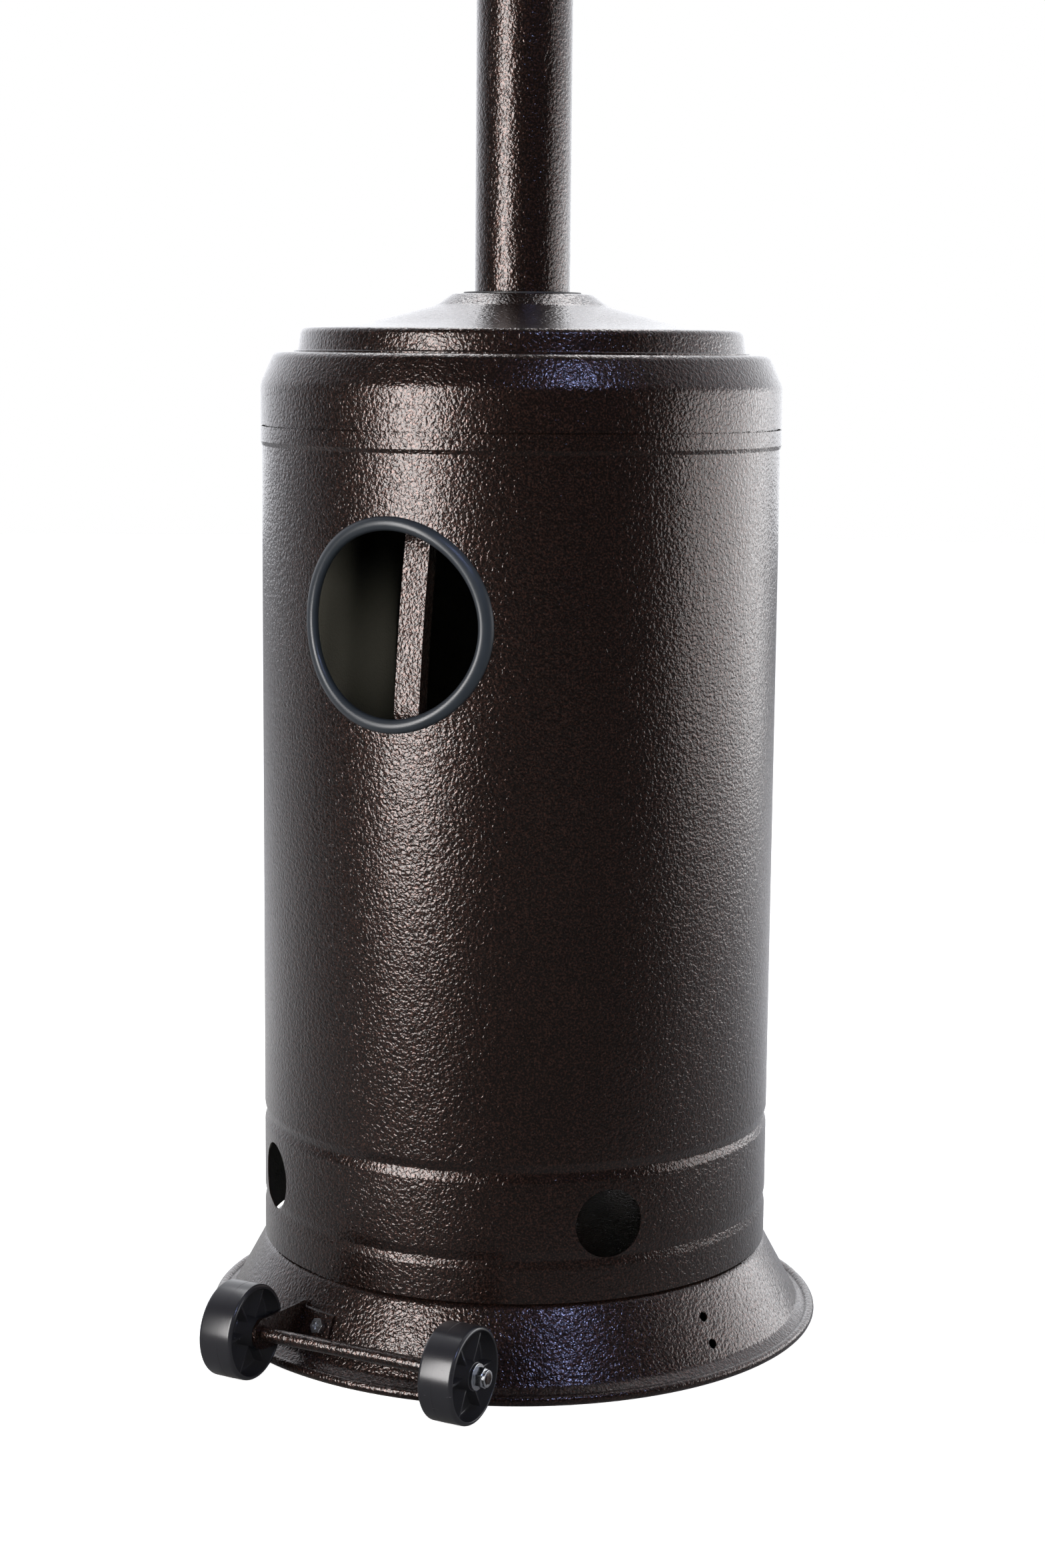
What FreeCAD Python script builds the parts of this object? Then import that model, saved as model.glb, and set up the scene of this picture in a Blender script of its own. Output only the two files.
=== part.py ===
"""Free-standing propane patio heater in hammered bronze steel.

Millimetres, +Z up. The origin is on the floor under the middle of the base, and the front, where the
wheels and the round hand hole are, faces -Y. An azimuth is measured from the front (-Y) towards +X.

From the floor up: a flared base pan with two transport wheels, three channel legs that stand on the
pan around the gas bottle's space and carry the post, a cylindrical housing that slides up the post,
and, on top of the post, the burner head with its emitter screen and the three-part reflector.
Each shape is written to parts/NODE.step.
"""

import FreeCAD
import Part

import math
import os

Vec = FreeCAD.Vector
UP = Vec(0, 0, 1)
ORIGIN = Vec(0, 0, 0)

# ---------------------------------------------------------------------------- driving dimensions
OVERALL_HEIGHT = 2210.0        # floor to the tops of the reflector studs
HOUSING_RADIUS = 188.5         # outside of the cylinder
BASE_RIM_RADIUS = HOUSING_RADIUS + 39.2     # outside of the rolled rim
HOUSING_HEIGHT = 602.8         # cylinder, from its bottom edge to the seam under the shoulder
POST_RADIUS = 34.5
REFLECTOR_RADIUS = 406.5

# sheet thicknesses
BASE_SHEET = 1.5
HOUSING_SHEET = 1.0
LEG_SHEET = 2.0
POST_WALL = 1.5
BRACKET_SHEET = 2.5
HEAD_SHEET = 1.0
REFLECTOR_SHEET = 0.8

# base pan
BASE_TOP_Z = 60.0              # top face, where the legs and the gas bottle stand
BASE_TOP_RADIUS = HOUSING_RADIUS - 1.5      # where the flat top's plane meets the flare
BASE_FLARE_ANGLE = 28.5        # of the flare, from the vertical
BASE_TOP_FILLET = 9.0
RIM_BEAD_RADIUS = 3.7
RIM_FOOT_FLAT = 0.25           # how much the bead is flattened where it stands
FLARE_FOOT_Z = 9.8             # where the flare turns into the narrow flange beside the bead
FLARE_FOOT_FILLET = 6.0
HOUSING_GAP = 0.4              # between the housing's rest tabs and the pan

# housing
BAND_HEIGHT = 13.6             # the slightly wider band under the seam
BAND_STEP = 1.0
GROOVE_HALF = 6.5              # half the height of a rolled groove
HIGH_GROOVE_Z = 93.5
HIGH_GROOVE_DEPTH = 2.0
LOW_GROOVE_Z = 31.0
LOW_GROOVE_DEPTH = 1.2
HAND_HOLE_Z = 471.4            # above the housing's bottom edge
HAND_HOLE_RADIUS = 67.5
TRIM_INNER_RADIUS = HAND_HOLE_RADIUS - 3.3
TRIM_SECTION = 10.0            # diameter of the rubber trim's round section
TRIM_CLEARANCE = 0.15
VENT_Z = 55.4
VENT_RADIUS = 24.6
VENT_AZIMUTHS = (48.9, 138.9, 228.9, 318.9)
TAB_AZIMUTHS = (60.0, 180.0, 300.0)
SEAM_GAP = 1.2                 # open seam between cylinder and shoulder

# shoulder, lid and bushing, as heights above the housing's bottom edge
SHOULDER_BEND_Z = 632.0        # where the upright band starts to lean in
SHOULDER_TOP_Z = 654.6
SHOULDER_TOP_RADIUS = HOUSING_RADIUS - 9.0  # corner of the lean and the flat top
SHOULDER_COLLAR = 22.0         # how far its inner collar reaches down into the cylinder
COLLAR_CLEARANCE = 0.2
LID_RADIUS = HOUSING_RADIUS - 26.2
LID_SKIRT = 15.0
LID_LIP = 3.0
LID_EDGE_Z = 671.6
LID_BOSS_FOOT_RADIUS = POST_RADIUS + 28.0
LID_BOSS_FOOT_Z = 688.6
LID_BOSS_RADIUS = POST_RADIUS + 16.0
LID_BOSS_Z = 697.0
BUSH_FLANGE_RADIUS = POST_RADIUS + 8.1
BUSH_FLANGE = 1.3
BUSH_DEPTH = 12.0
BUSH_WALL = 2.0
BUSH_SLIDE_CLEARANCE = 0.5     # radial, on the post
BUSH_SEAT_CLEARANCE = 0.1

# legs
LEG_RADIUS = HOUSING_RADIUS - 20.5          # outside of the upright stretch
LEG_WIDTH = 20.0
LEG_DEPTH = 10.5
LEG_FOOT = 42.0
LEG_LEAN = 11.8                # degrees from the vertical above the long bend
LEG_LEAN_START_Z = 360.0
LEG_LONG_BEND = 1365.0
LEG_SHORT_BEND = 60.0
LEG_TOP_RISE = 20.0            # degrees from the horizontal, towards the post
LEG_KNEE_Z = 672.0
LEG_TOP_REACH = 18.0           # length of the flat tab under the post's flange
LEG_AZIMUTHS = {"leg_front": 0.0, "leg_right": 120.0, "leg_left": 240.0}
FOOT_BOLT_RADII = (LEG_RADIUS - 13.0, LEG_RADIUS - 30.0)

# post
POST_FLANGE_THICKNESS = 4.0
POST_FLANGE_OVERHANG = 27.5
POST_TOP_Z = OVERALL_HEIGHT - 442.0

# wheels and their brackets
WHEEL_RADIUS = 33.8
WHEEL_WIDTH = 26.5
WHEEL_FLOOR_GAP = 0.5
WHEEL_INNER_FACE = 74.6        # from the middle plane to a wheel's inner face
AXLE_REACH = BASE_RIM_RADIUS + 13.3         # from the heater's axis to the axle
AXLE_RADIUS = 5.0
AXLE_END_RADIUS = 4.0
AXLE_RUNNING_CLEARANCE = 0.09
HUB_RADIUS = 10.0
HUB_PROUD = 2.6                # how far the hub stands proud of the rim on its inner side
HUB_OUTER_PROUD = 0.3
RIM_WALL = 3.2
WEB_THICKNESS = 2.4
RIB_COUNT = 6
RIB_THICKNESS = 1.8
RIB_DEPTH = 8.0
ARM_EAR_RADIUS = 11.0
BOLT_AZIMUTH = 13.5            # bracket bolts, each side of the front
SPARE_AZIMUTH = 71.1
CONE_HOLE_HEIGHTS = (38.0, 20.5)
CONE_HOLE_RADIUS = 3.6
BRACKET_BOLT_HEIGHT = sum(CONE_HOLE_HEIGHTS) / 2
BRACKET_HALF_HEIGHT = 10.0

# fasteners
M6 = {"shank": 3.0, "hole": 3.4, "flats": 10.0, "head": 4.2, "nut": 5.0}
M8 = {"shank": 4.0, "hole": 4.3, "flats": 13.0, "nut": 7.6}
WASHER_RADIUS = 9.2
WASHER_THICKNESS = 1.6
THREAD_CLEARANCE = 0.03

# burner head
SKIRT_BOTTOM_RADIUS = POST_RADIUS + 13.5
SKIRT_RADIUS = 104.0
SKIRT_BOTTOM_Z = POST_TOP_Z - 10.0
SKIRT_CONE_HEIGHT = 38.0
SKIRT_HEIGHT = 128.0
SKIRT_SLOTS = 24
SKIRT_SLOT_WIDTH = 5.0
SKIRT_SLOT_HEIGHT = 26.0
BEZEL_WIDTH = 104.0
BEZEL_HEIGHT = 52.0
BEZEL_FACE_Y = -112.0
BEZEL_WALL = 2.0
KNOB_X = -24.0
KNOB_RADIUS = 18.5
KNOB_DEPTH = 20.0
KNOB_TRAVEL = 5.0
STEM_RADIUS = 4.0
SPOOL_RADIUS = 7.0
SPOOL_LENGTH = 14.0
SPOOL_RECESS = 1.0             # how far the spool sits inside the neck at rest
VALVE_Y = -14.0                # line of the valve's outlet and inlet, over the post's bore
VALVE_NECK_DEPTH = 22.0        # from the bezel's face back to the valve's neck
VALVE_OUTLET = 26.0            # height of the outlet's end above the spindle
VALVE_INLET = 24.0             # depth of the inlet's end below the spindle
RUNNING_CLEARANCE = 0.08
BUTTON_X = 28.0
BUTTON_RADIUS = 7.0
BUTTON_PROUD = 9.0
BUTTON_TRAVEL = 6.0
MOVING_CLEARANCE = 0.4
BURNER_PLATE = 1.5
BURNER_RADIUS = 42.0
BURNER_HEIGHT = 26.0
PORT_COUNT = 24
SCREEN_RADIUS = 98.0
SCREEN_HEIGHT = 205.0
SCREEN_SHEET = 0.8
SCREEN_ROWS = 10
SCREEN_COLUMNS = 36
SCREEN_HOLE_RADIUS = 5.0
TOP_PLATE_RADIUS = 106.0
STUD_CIRCLE = 60.0
STUD_RADIUS = 3.0
STUD_AZIMUTHS = (0.0, 120.0, 240.0)

# reflector
REFLECTOR_DROP = 112.0         # from the flat crown to the rim
REFLECTOR_CROWN_RADIUS = 85.0
REFLECTOR_RIM = 12.0           # turned-down edge
REFLECTOR_SEAM_GAP = 0.6
REFLECTOR_SEAM_LIP = 10.0
SEAM_LIP_INSET = 8.0           # the lips end this far inside the rim
PANEL_AZIMUTHS = {"reflector_panel_front": 0.0, "reflector_panel_right": 120.0,
                  "reflector_panel_left": 240.0}
SEAM_SCREW_RADII = (160.0, 250.0, 345.0)
CAP_RADIUS = 98.0
WING_HEIGHT = 12.0

# ---------------------------------------------------------------------------- derived places
HOUSING_Z = BASE_TOP_Z
RIM_CENTRE_RADIUS = BASE_RIM_RADIUS - RIM_BEAD_RADIUS
RIM_CENTRE_Z = RIM_BEAD_RADIUS - RIM_FOOT_FLAT
FLARE_SLOPE = math.tan(math.radians(BASE_FLARE_ANGLE))
LEG_BOTTOM_Z = BASE_TOP_Z
AXLE_Z = WHEEL_RADIUS + WHEEL_FLOOR_GAP
HEAD_Z = SKIRT_BOTTOM_Z + SKIRT_HEIGHT        # top of the skirt, where the burner plate lies
SCREEN_Z = HEAD_Z + BURNER_PLATE
TOP_PLATE_Z = SCREEN_Z + SCREEN_HEIGHT
KNOB_Z = SKIRT_BOTTOM_Z + SKIRT_CONE_HEIGHT + 0.5 * (SKIRT_HEIGHT - SKIRT_CONE_HEIGHT)
VALVE_NECK_Y = BEZEL_FACE_Y + VALVE_NECK_DEPTH


# ---------------------------------------------------------------------------- geometry helpers
def at_azimuth(radius, azimuth, z=0.0):
    """The point at that radius, azimuth (degrees from -Y towards +X) and height."""
    a = math.radians(azimuth)
    return Vec(radius * math.sin(a), -radius * math.cos(a), z)


def turned(shape, azimuth):
    """A copy of a shape made at the front, turned to an azimuth."""
    copy = shape.copy()
    copy.rotate(ORIGIN, UP, azimuth)
    return copy


def around(shape, azimuths):
    return [turned(shape, a) for a in azimuths]


def rounded_path(points, radii):
    """Edges in the XZ plane that follow points, with an arc of radii[i] at the inner point i + 1."""
    edges = []
    start = Vec(points[0][0], 0, points[0][1])
    for i, radius in enumerate(radii, 1):
        before, corner, after = (Vec(p[0], 0, p[1]) for p in points[i - 1:i + 2])
        back = (before - corner).normalize()
        ahead = (after - corner).normalize()
        turn = math.pi - back.getAngle(ahead)
        if radius <= 0 or turn < 1e-6:
            edges.append(Part.LineSegment(start, corner).toShape())
            start = corner
            continue
        reach = radius * math.tan(turn / 2)
        first, last = corner + back * reach, corner + ahead * reach
        towards = (back + ahead).normalize()
        centre = corner + towards * (radius / math.cos(turn / 2))
        middle = centre - towards * radius
        if (first - start).Length > 1e-6:
            edges.append(Part.LineSegment(start, first).toShape())
        edges.append(Part.Arc(first, middle, last).toShape())
        start = last
    end = Vec(points[-1][0], 0, points[-1][1])
    if (end - start).Length > 1e-6:
        edges.append(Part.LineSegment(start, end).toShape())
    return edges


def offset_points(points, radii, distance):
    """Points and radii of the same path moved sideways, to its left for a positive distance."""
    def left(a, b):
        length = math.hypot(b[0] - a[0], b[1] - a[1])
        return (-(b[1] - a[1]) / length, (b[0] - a[0]) / length)

    normals = [left(a, b) for a, b in zip(points, points[1:])]
    moved, bends = [], []
    for i, p in enumerate(points):
        n1, n2 = normals[max(i - 1, 0)], normals[min(i, len(normals) - 1)]
        share = distance / (1 + n1[0] * n2[0] + n1[1] * n2[1])
        moved.append((p[0] + (n1[0] + n2[0]) * share, p[1] + (n1[1] + n2[1]) * share))
        if 0 < i < len(points) - 1:
            left_turn = n1[0] * n2[1] - n1[1] * n2[0] > 0
            radius = radii[i - 1]
            if radius > 0:
                radius += -distance if left_turn else distance
            bends.append(max(radius, 0.0))
    return moved, bends


def sheet_face(points, radii, thickness):
    """The cut face, in the XZ plane, of a sheet bent along a path: the sheet lies to the path's left."""
    moved, bends = offset_points(points, radii, thickness)
    near = rounded_path(points, radii)
    far = rounded_path(moved, bends)
    ends = []
    for a, b in ((points[0], moved[0]), (points[-1], moved[-1])):
        ends.append(Part.LineSegment(Vec(a[0], 0, a[1]), Vec(b[0], 0, b[1])).toShape())
    return Part.Face(Part.Wire(Part.__sortEdges__(near + ends + far)))


def spun(face, angle=360.0):
    """A face in the XZ plane revolved about the Z axis."""
    return face.revolve(ORIGIN, UP, angle)


def shell(points, radii, thickness):
    return spun(sheet_face(points, radii, thickness))


def disc(radius, z, thickness, hole=0.0):
    body = Part.makeCylinder(radius, thickness, Vec(0, 0, z))
    return body.cut(Part.makeCylinder(hole, thickness, Vec(0, 0, z))) if hole else body


def ring(outer, inner, z, height):
    return disc(outer, z, height, inner)


def rod(start, end, radius):
    return Part.makeCylinder(radius, (end - start).Length, start, end - start)


def hexagon(flats, height, base, axis):
    """A hexagonal prism standing on base along axis."""
    corner = flats / math.sqrt(3)
    points = [Vec(corner * math.cos(math.radians(60 * k)), corner * math.sin(math.radians(60 * k)), 0)
              for k in range(7)]
    prism = Part.Face(Part.makePolygon(points)).extrude(Vec(0, 0, height))
    prism.Placement = FreeCAD.Placement(base, FreeCAD.Rotation(UP, axis))
    return prism


def bolt(size, under_head, axis, length):
    """A hex bolt with a cross recess. under_head is where the head seats, axis points out of the head."""
    axis = Vec(axis).normalize()
    head = hexagon(size["flats"], size["head"], under_head, axis)
    recess_depth, recess_width, recess_length = 1.6, 1.4, 5.6
    rotation = FreeCAD.Rotation(UP, axis)
    for long_way in ((recess_length, recess_width), (recess_width, recess_length)):
        slot = Part.makeBox(long_way[0], long_way[1], recess_depth,
                            Vec(-long_way[0] / 2, -long_way[1] / 2, size["head"] - recess_depth))
        slot.Placement = FreeCAD.Placement(under_head, rotation)
        head = head.cut(slot)
    return head.fuse(rod(under_head, under_head - axis * length, size["shank"])).removeSplitter()


def nut(size, seat, axis):
    """A plain hex nut standing on seat along axis, bored to clear the bolt."""
    axis = Vec(axis).normalize()
    body = hexagon(size["flats"], size["nut"], seat, axis)
    return body.cut(rod(seat, seat + axis * size["nut"], size["shank"] + THREAD_CLEARANCE))


def drilled(shape, holes):
    """shape less a list of (point, axis, radius) holes, each long enough to clear a sheet."""
    reach = 12.0
    for point, axis, radius in holes:
        step = Vec(axis).normalize() * reach
        shape = shape.cut(rod(point - step, point + step, radius))
    return shape


# ---------------------------------------------------------------------------- base and legs
def flare_radius(z):
    """Outer radius of the base's flare at a height."""
    return BASE_TOP_RADIUS + (BASE_TOP_Z - z) * FLARE_SLOPE


FLARE_NORMAL = Vec(0, -math.cos(math.radians(BASE_FLARE_ANGLE)), math.sin(math.radians(BASE_FLARE_ANGLE)))


def flare_point(z, azimuth, proud=0.0):
    """The point on the flare at a height and azimuth, moved out along its normal."""
    point = Vec(0, -flare_radius(z), z) + FLARE_NORMAL * proud
    return FreeCAD.Rotation(UP, azimuth).multVec(point)


def flare_normal(azimuth):
    return FreeCAD.Rotation(UP, azimuth).multVec(FLARE_NORMAL)


def base_pan():
    foot = (flare_radius(FLARE_FOOT_Z), FLARE_FOOT_Z)
    flange_end = (RIM_CENTRE_RADIUS, RIM_CENTRE_Z + 0.2)
    path = [flange_end, foot, (BASE_TOP_RADIUS, BASE_TOP_Z), (0.0, BASE_TOP_Z)]
    pan = shell(path, [FLARE_FOOT_FILLET, BASE_TOP_FILLET], BASE_SHEET)
    bead = Part.makeTorus(RIM_CENTRE_RADIUS, RIM_BEAD_RADIUS, Vec(0, 0, RIM_CENTRE_Z))
    below = Part.makeBox(600, 600, 10, Vec(-300, -300, -10))
    pan = pan.fuse(bead.cut(below)).removeSplitter()
    holes = [(at_azimuth(r, a, BASE_TOP_Z), UP, M6["hole"])
             for a in LEG_AZIMUTHS.values() for r in FOOT_BOLT_RADII]
    places = [(SPARE_AZIMUTH, z) for z in CONE_HOLE_HEIGHTS]
    places += [(a, BRACKET_BOLT_HEIGHT) for a in (-BOLT_AZIMUTH, BOLT_AZIMUTH)]
    holes += [(flare_point(z, a), flare_normal(a), CONE_HOLE_RADIUS) for a, z in places]
    return drilled(pan, holes)


def leg_path():
    """Outer side of a leg in the XZ plane, from the inner end of its foot to the end of its top tab."""
    lean = math.radians(LEG_LEAN)
    rise = math.radians(LEG_TOP_RISE)
    long_corner_z = LEG_LEAN_START_Z + LEG_LONG_BEND * math.tan(lean / 2)
    knee = (LEG_RADIUS - (LEG_KNEE_Z - long_corner_z) * math.tan(lean), LEG_KNEE_Z)
    tab_outer = POST_RADIUS + POST_FLANGE_OVERHANG - 4.0
    tab_z = knee[1] + (knee[0] - tab_outer) * math.tan(rise)
    points = [(LEG_RADIUS - LEG_FOOT, LEG_BOTTOM_Z), (LEG_RADIUS, LEG_BOTTOM_Z),
              (LEG_RADIUS, long_corner_z), knee, (tab_outer, tab_z),
              (tab_outer - LEG_TOP_REACH, tab_z)]
    return points, [4.0, LEG_LONG_BEND, LEG_SHORT_BEND, 8.0]


LEG_TOP_Z = leg_path()[0][-1][1]
POST_BOTTOM_Z = LEG_TOP_Z + POST_FLANGE_THICKNESS
TOP_BOLT_RADIUS = POST_RADIUS + 0.5 * POST_FLANGE_OVERHANG + 1.0


def leg():
    """A channel: its web follows the path, and its two flanges reach inwards from the web's edges."""
    points, radii = leg_path()
    half = LEG_WIDTH / 2
    web = sheet_face(points, radii, LEG_SHEET).extrude(Vec(0, LEG_WIDTH, 0))
    web.translate(Vec(0, -half, 0))
    cheek = sheet_face(points, radii, LEG_DEPTH).extrude(Vec(0, LEG_SHEET, 0))
    sides = []
    for y in (-half, half - LEG_SHEET):
        side = cheek.copy()
        side.translate(Vec(0, y, 0))
        sides.append(side)
    channel = web.fuse(sides).removeSplitter()
    holes = [(Vec(r, 0, LEG_BOTTOM_Z), UP, M6["hole"]) for r in FOOT_BOLT_RADII]
    holes.append((Vec(TOP_BOLT_RADIUS, 0, LEG_TOP_Z), UP, M6["hole"]))
    channel = drilled(channel, holes)
    return turned(channel, -90)     # from +X to the front


def leg_foot_fasteners():
    bolts, nuts = [], []
    for azimuth in LEG_AZIMUTHS.values():
        for radius in FOOT_BOLT_RADII:
            bolts.append(bolt(M6, at_azimuth(radius, azimuth, LEG_BOTTOM_Z + LEG_SHEET), UP, 12.0))
            nuts.append(nut(M6, at_azimuth(radius, azimuth, BASE_TOP_Z - BASE_SHEET), -UP))
    return bolts, nuts


def leg_top_fasteners():
    bolts, nuts = [], []
    for azimuth in LEG_AZIMUTHS.values():
        bolts.append(bolt(M6, at_azimuth(TOP_BOLT_RADIUS, azimuth, POST_BOTTOM_Z), UP, 14.0))
        nuts.append(nut(M6, at_azimuth(TOP_BOLT_RADIUS, azimuth, LEG_TOP_Z - LEG_SHEET), -UP))
    return bolts, nuts


def post_flange():
    outer = POST_RADIUS + POST_FLANGE_OVERHANG
    plate = disc(outer, LEG_TOP_Z, POST_FLANGE_THICKNESS, POST_RADIUS - POST_WALL - 2.0)
    return drilled(plate, [(at_azimuth(TOP_BOLT_RADIUS, a, LEG_TOP_Z), UP, M6["hole"])
                           for a in LEG_AZIMUTHS.values()])


def post():
    return ring(POST_RADIUS, POST_RADIUS - POST_WALL, POST_BOTTOM_Z, POST_TOP_Z - POST_BOTTOM_Z)


# ---------------------------------------------------------------------------- sliding housing
def housing_cylinder():
    def groove(z, depth):
        return [(HOUSING_RADIUS, z - GROOVE_HALF), (HOUSING_RADIUS - depth, z),
                (HOUSING_RADIUS, z + GROOVE_HALF)]

    bottom, top = HOUSING_Z + HOUSING_GAP, HOUSING_Z + HOUSING_HEIGHT - SEAM_GAP
    band_z = HOUSING_Z + HOUSING_HEIGHT - BAND_HEIGHT
    points = [(HOUSING_RADIUS, bottom)]
    for z, depth in ((LOW_GROOVE_Z, LOW_GROOVE_DEPTH), (HIGH_GROOVE_Z, HIGH_GROOVE_DEPTH)):
        points += groove(HOUSING_Z + z, depth)
    points += [(HOUSING_RADIUS, band_z - 1.5), (HOUSING_RADIUS + BAND_STEP, band_z + 1.5),
               (HOUSING_RADIUS + BAND_STEP, top)]
    bend = 6.0
    tube = shell(points, [bend, 4.0, bend, bend, 4.0, bend, 1.5, 1.5], HOUSING_SHEET)
    reach = HOUSING_RADIUS + 20.0
    hand = Part.makeCylinder(HAND_HOLE_RADIUS, reach, Vec(0, 0, HOUSING_Z + HAND_HOLE_Z), Vec(0, -1, 0))
    vent = Part.makeCylinder(VENT_RADIUS, reach, Vec(0, 0, HOUSING_Z + VENT_Z), Vec(0, -1, 0))
    return tube.cut([hand] + around(vent, VENT_AZIMUTHS))


def hand_hole_trim():
    """A rubber ring of nearly round section that grips the hole's edge and follows the cylinder's curve."""
    section = TRIM_SECTION / 2
    centre = Vec(0, 0, HOUSING_Z + HAND_HOLE_Z)
    front = Vec(0, -1, 0)
    reach = HOUSING_RADIUS + 20.0
    tube = Part.makeCylinder(TRIM_INNER_RADIUS + TRIM_SECTION, reach, centre, front)
    tube = tube.cut(Part.makeCylinder(TRIM_INNER_RADIUS, reach, centre, front))
    ring_shape = housing_wall(section).common(tube)
    rounded = [e for e in ring_shape.Edges if e.Length > 4 * TRIM_SECTION]
    ring_shape = ring_shape.makeFillet(0.9 * section, rounded)
    edge = Part.makeCylinder(HAND_HOLE_RADIUS - TRIM_CLEARANCE, reach, centre, front)
    return ring_shape.cut(housing_wall(HOUSING_SHEET / 2 + TRIM_CLEARANCE).cut(edge))


def housing_wall(half):
    """The cylinder's wall around the hand hole, thickened to half on each side of its middle."""
    middle = HOUSING_RADIUS - HOUSING_SHEET / 2
    low = HOUSING_Z + HAND_HOLE_Z - HAND_HOLE_RADIUS - 20.0
    return ring(middle + half, middle - half, low, 2 * HAND_HOLE_RADIUS + 40.0)


def housing_rest_tabs():
    """Three angle tabs welded inside the cylinder's lower edge, which stand on the base pan."""
    wall, width, height, reach = 1.5, 22.0, 18.0, 13.0
    inner = HOUSING_RADIUS - HOUSING_SHEET
    bottom = HOUSING_Z + HOUSING_GAP
    face = sheet_face([(inner - reach, bottom), (inner - 0.45, bottom), (inner - 0.45, bottom + height)],
                      [2.5], wall)
    tab = face.extrude(Vec(0, width, 0))
    tab.translate(Vec(0, -width / 2, 0))
    tab = tab.common(Part.makeCylinder(inner, height * 2, Vec(0, 0, bottom)))
    return Part.makeCompound(around(turned(tab, -90), TAB_AZIMUTHS))


def housing_shoulder():
    """The upright band above the seam, its lean, its flat top, and the collar that enters the cylinder."""
    outer = HOUSING_RADIUS + BAND_STEP
    seam = HOUSING_Z + HOUSING_HEIGHT
    bend = HOUSING_Z + SHOULDER_BEND_Z
    top = HOUSING_Z + SHOULDER_TOP_Z
    skin = shell([(outer, seam), (outer, bend), (SHOULDER_TOP_RADIUS, top), (LID_RADIUS - 10.0, top)],
                 [14.0, 7.0], HOUSING_SHEET)
    collar_radius = outer - HOUSING_SHEET
    collar = ring(collar_radius, collar_radius - HOUSING_SHEET, seam + 2.0, 6.0)
    socket = collar_radius - HOUSING_SHEET - COLLAR_CLEARANCE - 1.0
    neck = shell([(socket, seam - SHOULDER_COLLAR), (socket, seam + 3.0), (collar_radius, seam + 6.0),
                  (collar_radius, seam + 8.0)], [0.0, 0.0], HOUSING_SHEET)
    return skin.fuse([neck, collar]).removeSplitter()


def lid_path():
    """Upper side of the lid, from the edge of the lip that lies on the shoulder to its central hole."""
    low = HOUSING_Z + SHOULDER_TOP_Z + HOUSING_SHEET
    edge = HOUSING_Z + LID_EDGE_Z
    return [(LID_RADIUS + LID_LIP, low), (LID_RADIUS, low), (LID_RADIUS - 2.2, edge),
            (LID_BOSS_FOOT_RADIUS + 52.0, HOUSING_Z + 675.2), (LID_BOSS_FOOT_RADIUS, HOUSING_Z + LID_BOSS_FOOT_Z),
            (LID_BOSS_RADIUS, HOUSING_Z + LID_BOSS_Z), (bush_bore(), HOUSING_Z + LID_BOSS_Z)]


def bush_bore():
    """Radius of the lid's hole, which holds the bushing's sleeve."""
    return POST_RADIUS + BUSH_SLIDE_CLEARANCE + BUSH_WALL + BUSH_SEAT_CLEARANCE


def housing_lid():
    return shell(lid_path(), [1.5, 5.0, 160.0, 14.0, 5.0], HOUSING_SHEET)


def post_bushing():
    """A nylon bushing in the lid's hole, which slides on the post."""
    bore = POST_RADIUS + BUSH_SLIDE_CLEARANCE
    seat = HOUSING_Z + LID_BOSS_Z
    flange = ring(BUSH_FLANGE_RADIUS, bore, seat, BUSH_FLANGE)
    sleeve = ring(bore + BUSH_WALL, bore, seat - BUSH_DEPTH, BUSH_DEPTH)
    return flange.fuse(sleeve).removeSplitter()


# ---------------------------------------------------------------------------- wheels
def wheel():
    """A moulded wheel on the X axis, its inner face at x = 0 and its outer face at +X."""
    along = Vec(1, 0, 0)
    rim = rod(ORIGIN, along * WHEEL_WIDTH, WHEEL_RADIUS)
    edges = [e for e in rim.Edges if e.Curve.TypeId == "Part::GeomCircle"]
    rim = rim.makeFillet(2.6, edges)
    inside = WHEEL_RADIUS - RIM_WALL
    middle = WHEEL_WIDTH / 2
    half_web = WEB_THICKNESS / 2
    pocket = Part.makeCylinder(inside, middle - half_web, ORIGIN, along)
    rim = rim.cut([pocket, Part.makeCylinder(inside, middle - half_web,
                                             along * (middle + half_web), along)])
    hub = rod(along * -HUB_PROUD, along * (WHEEL_WIDTH + HUB_OUTER_PROUD), HUB_RADIUS)
    ribs = []
    for k in range(RIB_COUNT):
        rib = Part.makeBox(2 * RIB_DEPTH + WEB_THICKNESS, RIB_THICKNESS, inside - HUB_RADIUS + 2.0,
                           Vec(middle - RIB_DEPTH - half_web, -RIB_THICKNESS / 2, HUB_RADIUS - 1.0))
        rib.rotate(ORIGIN, along, 360.0 * k / RIB_COUNT + 30.0)
        ribs.append(rib)
    body = rim.fuse([hub] + ribs).removeSplitter()
    bore = AXLE_END_RADIUS + AXLE_RUNNING_CLEARANCE
    return body.cut(rod(along * -HUB_PROUD * 2, along * (WHEEL_WIDTH + 2 * HUB_PROUD), bore))


def placed_on_axle(shape, side):
    """A shape made along +X from a wheel's inner face, put on the right (1) or left (-1) of the axle."""
    copy = shape.copy()
    if side < 0:
        copy.rotate(ORIGIN, UP, 180)
    copy.translate(Vec(side * WHEEL_INNER_FACE, -AXLE_REACH, AXLE_Z))
    return copy


def axle_end():
    """From the wheel's inner face: where the outer washer and the nut seat, and where the axle ends."""
    washer = WHEEL_WIDTH + HUB_OUTER_PROUD + 0.3
    seat = washer + WASHER_THICKNESS
    return washer, seat, seat + M8["nut"] + 0.6


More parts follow.
